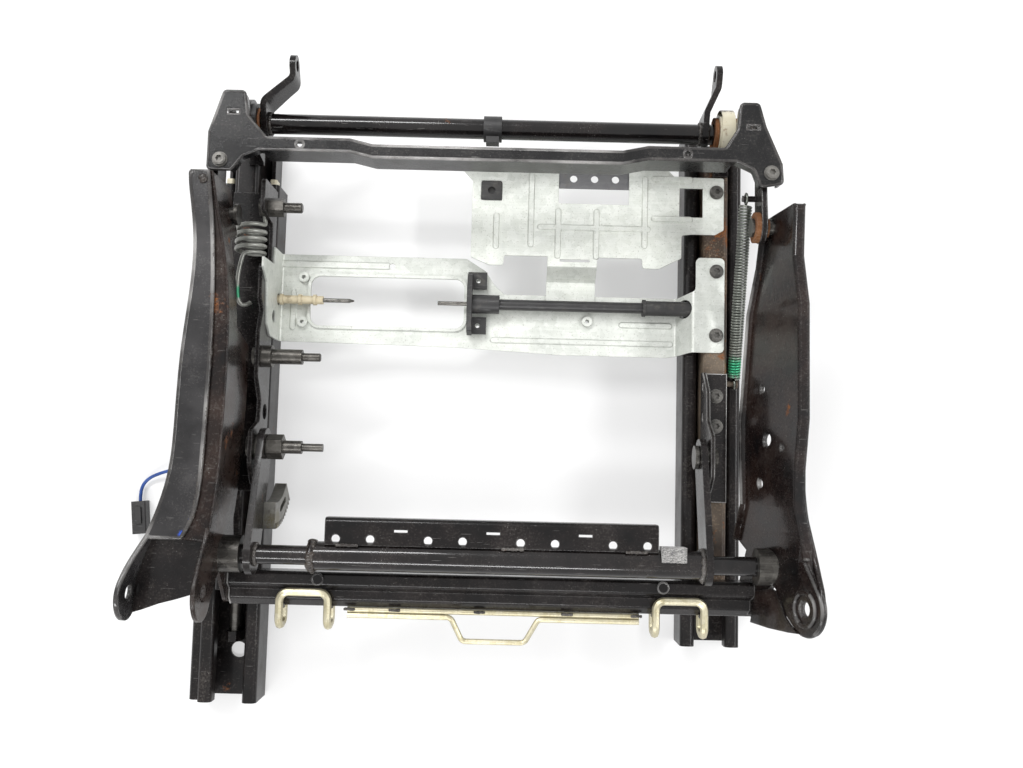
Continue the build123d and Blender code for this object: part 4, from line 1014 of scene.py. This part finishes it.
bracketTop, footTop = 0.0515, 0.0530
railScrews = screwSet(
    "railScrewHeads",
    [(0.1865, 0.103, bracketTop), (0.1865, 0.051, bracketTop), (0.186, 0.168, bracketTop)]
    + [(0.1865, 0.002, footTop), (0.1865, -0.022, footTop)],
    "carriage",
    screwLook,
    "steel",
)
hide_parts("rail_screws")
memberScrews = screwSet(
    "memberScrewHeads", [(-0.1965, 0.163, 0.124), (0.212, 0.163, 0.124)], "front_swing", screwLook, "steel"
)
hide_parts("member_screws")
print("screws set")

frontAxle = {"place": (0.204, 0.086), "radius": 0.00775 + 0.0004}  # Y and Z, and just off the tube
rearAxle = {"place": (-0.1265, 0.108), "radius": 0.0105}
ringWelds = {  # body, X, axle, room round it, arc in degrees with its points, bead
    "leverWeldLeft": ("front_swing", -0.1692, frontAxle, 0, (-40, 220, 14), 0.0016),
    "leverWeldLeftOuter": ("front_swing", -0.1748, frontAxle, 0, (-40, 220, 14), 0.0016),
    "leverWeldRight": ("front_swing", 0.1652, frontAxle, 0, (-40, 220, 14), 0.0016),
    "leverWeldRightOuter": ("front_swing", 0.1708, frontAxle, 0, (-40, 220, 14), 0.0016),
    "armWeldLeft": ("front_swing", -0.1985, frontAxle, 0, (-60, 240, 14), 0.0017),
    "armWeldRight": ("front_swing", 0.2055, frontAxle, 0, (-60, 240, 14), 0.0017),
    "linkWeldRight": ("rear_swing", 0.1662, rearAxle, 0.0003, (0, 360, 20), 0.0026),
    "linkWeldLeft": ("rear_swing", -0.1603, rearAxle, -0.0031, (0, 360, 16), 0.0020),
    "tubeCollarWeld": ("rear_swing", -0.1190, rearAxle, 0, (0, 360, 22), 0.0032),
}
for name, (body, x, axle, out, arc, radius) in ringWelds.items():
    weldBead(name, ringPoints(x, *axle["place"], axle["radius"] + out, *arc), radius, body)
seam = {
    "line": [(-0.1965, 0.143), (-0.1902, 0.094), (-0.1882, 0.018), (-0.1902, -0.060), (-0.1950, -0.100)],
    "height": 0.1497,
    "bead": 0.0013,
    "blob": [(-0.2005, 0.142, 0.1500), (-0.1985, 0.139, 0.1500)],
    "blobBead": 0.0032,
}
weldBead("sideSeam", [(x, y, seam["height"]) for x, y in seam["line"]], seam["bead"], "seat_frame", 0.45, 1.0)
weldBead("sideBlob", seam["blob"], seam["blobBead"], "seat_frame", 0.5)
hookWelds = {
    "middles": {"Left": -0.127, "Right": 0.153},
    "half": 0.018,
    "ends": ((-0.1675, 0.0795), (-0.1655, 0.0830)),  # Y and Z
    "bead": 0.0022,
}
for side, middle in hookWelds["middles"].items():
    for hand, x in (("A", middle - hookWelds["half"]), ("B", middle + hookWelds["half"])):
        line = [(x, y, z) for y, z in hookWelds["ends"]]
        weldBead("hookWeld" + side + hand, line, hookWelds["bead"], "seat_frame")
wireWelds = {
    "middles": (-0.094, -0.060, 0.004, 0.070, 0.122),
    "half": 0.004,
    "place": (-0.1680, 0.0822),
    "bead": 0.0012,
}
for number, x in enumerate(wireWelds["middles"]):
    line = [(end, *wireWelds["place"]) for end in (x - wireWelds["half"], x + wireWelds["half"])]
    weldBead("wireWeld" + str(number), line, wireWelds["bead"], "seat_frame")
stripWelds = {"A": (-0.100, -0.085), "B": (0.020, 0.035), "C": (0.110, 0.125)}
stripPlace, stripBead = (-0.1178, 0.1165), 0.0013
for letter, ends in stripWelds.items():
    weldBead("stripWeld" + letter, [(x, *stripPlace) for x in ends], stripBead, "rear_swing")
print("welds laid")

# Rounded rims along the corners of pressed sheets
rims = {
    "cross_member": {"body": "front_swing", "radius": 0.0013, "above": 0.100},
    "left_side_outer": {"body": "seat_frame", "radius": 0.0016, "above": 0.120},
    "left_side_inner": {"body": "seat_frame", "radius": 0.0012, "above": 0.120, "material": "innerPaint"},
    "right_side_plate": {
        "body": "seat_frame",
        "radius": 0.0013,
        "above": 0.080,
        "bare": ((0.215, 0.125, 0.110), 0.036),  # no rim round the front pin
    },
    "rear_beam": {"body": "seat_frame", "radius": 0.0009, "above": 0.050},
    "perforated_strip": {"body": "rear_swing", "radius": 0.0005, "above": 0.100, "material": "blackPaint"},
    "left_swing_arm": {"body": "front_swing", "radius": 0.0006, "above": 0.070},
    "right_swing_arm": {"body": "front_swing", "radius": 0.0006, "above": 0.070},
    "right_upright": {"body": "carriage", "radius": 0.0006, "above": 0.050},
    "left_upright": {"body": "carriage", "radius": 0.0006, "above": 0.050, "material": "uprightPaint"},
}
rimBase = {
    "material": "rimHighlightPaint",
    "fold": 50.0,  # degrees that a corner turns at least
    "facingUp": 0.45,
    "sunk": 0.85,
    "merge": 0.00002,
    "bare": ((0, 0, 0), 0),
}


def cornerLines(source, look):
    # Chains of the convex corners that face up, each point with its outward direction
    shape = bmesh.new()
    shape.from_mesh(source.data)
    bmesh.ops.transform(shape, matrix=source.matrix_world, verts=shape.verts)
    bmesh.ops.remove_doubles(shape, verts=shape.verts, dist=look["merge"])
    shape.normal_update()
    bareMiddle, bareReach = look["bare"]
    picked, outward = set(), {}
    for edge in shape.edges:
        if len(edge.link_faces) != 2 or edge.calc_face_angle_signed() < radians(look["fold"]):
            continue
        if all((vert.co - Vector(bareMiddle)).length < bareReach for vert in edge.verts):
            continue
        normals = [face.normal for face in edge.link_faces]
        lowest = min(vert.co.z for vert in edge.verts)
        if max(normal.z for normal in normals) > look["facingUp"] and lowest > look["above"]:
            picked.add(edge)
            for vert in edge.verts:
                outward.setdefault(vert, Vector())
                outward[vert] += normals[0] + normals[1]
    forks = [vert for vert in outward if sum(edge in picked for edge in vert.link_edges) != 2]
    lines = []
    for vert in forks + list(outward):
        while any(edge in picked for edge in vert.link_edges):
            line, here = [vert], vert
            while True:
                edge = next((edge for edge in here.link_edges if edge in picked), None)
                if edge is None:
                    break
                picked.remove(edge)
                here = edge.other_vert(here)
                line.append(here)
            lines.append([(vert.co.copy(), outward[vert].normalized()) for vert in line])
    shape.free()
    return lines


def sheetRims(name, look):
    curve = roundCurve(name + "Lines", look["radius"], 2, look["material"])
    for line in cornerLines(nodes[name], look):
        closed = (line[0][0] - line[-1][0]).length < look["merge"] and len(line) > 3
        points = line[:-1] if closed else line
        spline = curve.splines.new("POLY")
        spline.points.add(len(points) - 1)
        for target, (place, outwards) in zip(spline.points, points):
            target.co = (*(place - outwards * look["radius"] * look["sunk"]), 1.0)
        spline.use_cyclic_u = closed
    return turnedToMesh(placed(name + "Lines", curve, look["body"], "black_paint"), name + "_rims")


for name, look in rims.items():
    sheetRims(name, {**rimBase, **look})

ear = {"place": (0.2306, -0.151, 0.1493), "lean": 20.0, "radius": 0.0178, "rim": 0.0021}


def earPoint(look, turn, away):
    # A point round the right ear's middle, in the leaning plane of its plate
    x, y, z = look["place"]
    turn, lean = radians(turn), radians(look["lean"])
    up = away * sin(turn)
    return (x + up * sin(lean), y + away * cos(turn), z + up * cos(lean))


rimLine = [(0.2280, -0.070, 0.1475), (0.2292, -0.086, 0.1475), (0.2325, -0.100, 0.1475)]
rimLine += [(0.2348, -0.110, 0.1480), (0.2362, -0.120, 0.1510), (0.2366, -0.130, 0.1570)]
rimLine += [(0.2368, -0.139, 0.1635)]
rimLine += [earPoint(ear, turn, ear["radius"]) for turn in range(95, 276, 20)]
rolledEdge("earRim", rimLine, ear["rim"], "seat_frame", "rightPlatePaint", "black_paint")

webs = {
    "leftEarWeb": {
        "outline": [(-0.2250, -0.112, 0.138), (-0.1872, -0.112, 0.138), (-0.1872, -0.148, 0.138)]
        + [(-0.1960, -0.1530, 0.138), (-0.2060, -0.1562, 0.138), (-0.2180, -0.1595, 0.138)]
        + [(-0.2300, -0.1640, 0.138), (-0.2366, -0.1660, 0.138), (-0.2356, -0.1450, 0.138)]
        + [(-0.2310, -0.1300, 0.138)],
        "thickness": 0.0018,
        "material": "blackPaint",
    },
    "rightEarWeb": {
        "outline": [(0.2095, -0.1454, 0.095), (0.2163, -0.1413, 0.114), (0.2184, -0.143, 0.1197)]
        + [(0.2201, -0.1495, 0.1244), (0.222, -0.159, 0.1296), (0.2245, -0.165, 0.1365)]
        + [(0.2272, -0.1686, 0.144), (0.2233, -0.1694, 0.1332), (0.2151, -0.1699, 0.1107)]
        + [(0.2073, -0.169, 0.0892)],
        "thickness": 0.0018,
        "material": "rightPlatePaint",
    },
}


def webSheet(name, look):
    # A flat sheet that closes an ear towards the beam
    shape = bmesh.new()
    shape.faces.new([shape.verts.new(corner) for corner in look["outline"]])
    bmesh.ops.recalc_face_normals(shape, faces=shape.faces)
    bmesh.ops.solidify(shape, geom=shape.faces, thickness=look["thickness"])
    bmesh.ops.triangulate(shape, faces=shape.faces)
    bmesh.ops.recalc_face_normals(shape, faces=shape.faces)
    return asPiece(name, shape, "seat_frame", look["material"], "black_paint")


for name, look in webs.items():
    webSheet(name, look)

gussetLook = {
    "outline": [(0.2268, -0.104, 0.1470), (0.2300, -0.104, 0.1470), (0.2352, -0.121, 0.1500)]
    + [(0.2362, -0.138, 0.1640), (0.2300, -0.140, 0.1500), (0.2270, -0.124, 0.1400)],
    "thickness": 0.0018,
    "smoothing": 0.4,
    "cuts": 2,
}
gusset = bmesh.new()
gusset.faces.new([gusset.verts.new(corner) for corner in gussetLook["outline"]])
bmesh.ops.triangulate(gusset, faces=gusset.faces)
bmesh.ops.subdivide_edges(gusset, edges=gusset.edges, cuts=gussetLook["cuts"], use_grid_fill=True)
allWays = {"use_axis_x": True, "use_axis_y": True, "use_axis_z": True}
bmesh.ops.smooth_vert(gusset, verts=gusset.verts, factor=gussetLook["smoothing"], **allWays)
bmesh.ops.recalc_face_normals(gusset, faces=gusset.faces)
bmesh.ops.solidify(gusset, geom=gusset.faces, thickness=gussetLook["thickness"])
asPiece("cornerGusset", gusset, "seat_frame", "rightPlatePaint", "black_paint")

band = {
    "x": (0.1800, 0.1900),
    "place": (0.204, 0.086),
    "radius": (0.0181, 0.0188),
    "edge": 0.0003,
    "steps": 72,
    "merge": 0.00001,
}


def ringBand(name, look, body, material, slot):
    # A short sleeve round an axis along X
    shape = bmesh.new()
    y, z = look["place"]
    inner, outer = look["radius"]
    left, right = look["x"]
    soft = look["edge"]
    corners = [(left, inner), (left, outer - soft), (left + soft, outer), (right - soft, outer)]
    corners += [(right, outer - soft), (right, inner)]
    ring = [shape.verts.new((x, y, z + away)) for x, away in corners]
    edges = [shape.edges.new(pair) for pair in zip(ring, ring[1:] + ring[:1])]
    whole = {"cent": (0, y, z), "axis": (1, 0, 0), "angle": 2 * pi, "use_merge": True}
    bmesh.ops.spin(shape, geom=ring + edges, steps=look["steps"], **whole)
    bmesh.ops.remove_doubles(shape, verts=shape.verts, dist=look["merge"])
    bmesh.ops.recalc_face_normals(shape, faces=shape.faces)
    return asPiece(name, shape, body, material, slot)


ringBand("bushBand", band, "carriage", "creamPlastic", "white_plastic")
print("edges rolled")

studio = {
    "floorSize": 30.0,
    "floorDrop": 0.0004,
    "floorColour": (0.86, 0.86, 0.86),
    "floorGlow": 0.42,  # share of the floor's own white that the camera sees
    "fade": (0.45, 1.6),  # from here to here the floor turns to pure white
    "fill": 0.62,  # how strongly the white surround lights the object
    "aim": (0, 0, 0.05),
}
lamps = {
    "keyLamp": {"place": (-0.7, 1.0, 1.5), "size": (1.3, 0.18), "power": 25.0},
    "sideLamp": {"place": (1.2, 0.1, 1.3), "size": (1.2, 0.14), "power": 14.0},
    "rearLamp": {"place": (-0.3, -1.2, 1.2), "size": (1.2, 0.14), "power": 14.0},
}
white = (1.0, 1.0, 1.0, 1.0)


def straightRays(net):
    # 1 for what is seen directly, mirrored or through glass, and 0 for light that only brightens
    seen, mirrored, through = (
        net.node("ShaderNodeLightPath", {}, {}, kind)
        for kind in ("Is Camera Ray", "Is Glossy Ray", "Is Transmission Ray")
    )
    return (seen + mirrored + through).clamped()


floorShape = bmesh.new()
bmesh.ops.create_grid(floorShape, x_segments=1, y_segments=1, size=studio["floorSize"] / 2)
floorMesh = bpy.data.meshes.new("floor")
floorShape.to_mesh(floorMesh)
floorShape.free()
floor = bpy.data.objects.new("floor", floorMesh)
floor.location.z = -studio["floorDrop"]
bpy.context.scene.collection.objects.link(floor)
floorNet = Net(bpy.data.materials.new("floorPaper"))
paper = floorNet.node("ShaderNodeBsdfDiffuse", {}, {"Color": (*studio["floorColour"], 1.0)})
glow = floorNet.node("ShaderNodeEmission", {}, {"Color": white, "Strength": 1.0})
middle = floorNet.node("ShaderNodeVectorMath", {"operation": "LENGTH"}, {0: floorNet.place}, "Value")
whiter = studio["floorGlow"] + (1.0 - studio["floorGlow"]) * floorNet.steps(middle, *studio["fade"])
shares = {0: straightRays(floorNet) * whiter, 1: paper, 2: glow}
floorMesh.materials.append(floorNet.shown(floorNet.node("ShaderNodeMixShader", {}, shares)))

world = bpy.data.worlds.new("surround")
bpy.context.scene.world = world
sky = Net(world)
fillLight = sky.node("ShaderNodeBackground", {}, {"Color": white, "Strength": studio["fill"]})
whiteView = sky.node("ShaderNodeBackground", {}, {"Color": white, "Strength": 1.0})
shares = {0: straightRays(sky), 1: fillLight, 2: whiteView}
sky.shown(sky.node("ShaderNodeMixShader", {}, shares), "ShaderNodeOutputWorld")

for name, look in lamps.items():
    lamp = bpy.data.objects.new(name, bpy.data.lights.new(name, "AREA"))
    lamp.data.shape = "RECTANGLE"
    lamp.data.size, lamp.data.size_y = look["size"]
    lamp.data.energy = look["power"]
    bpy.context.scene.collection.objects.link(lamp)
    away = Vector(look["place"]) - Vector(studio["aim"])
    facing = away.to_track_quat("Z", "Y").to_matrix().to_4x4()
    lamp.matrix_world = Matrix.Translation(look["place"]) @ facing
bpy.context.scene.view_settings.view_transform = "Standard"
print("floor and lights placed")
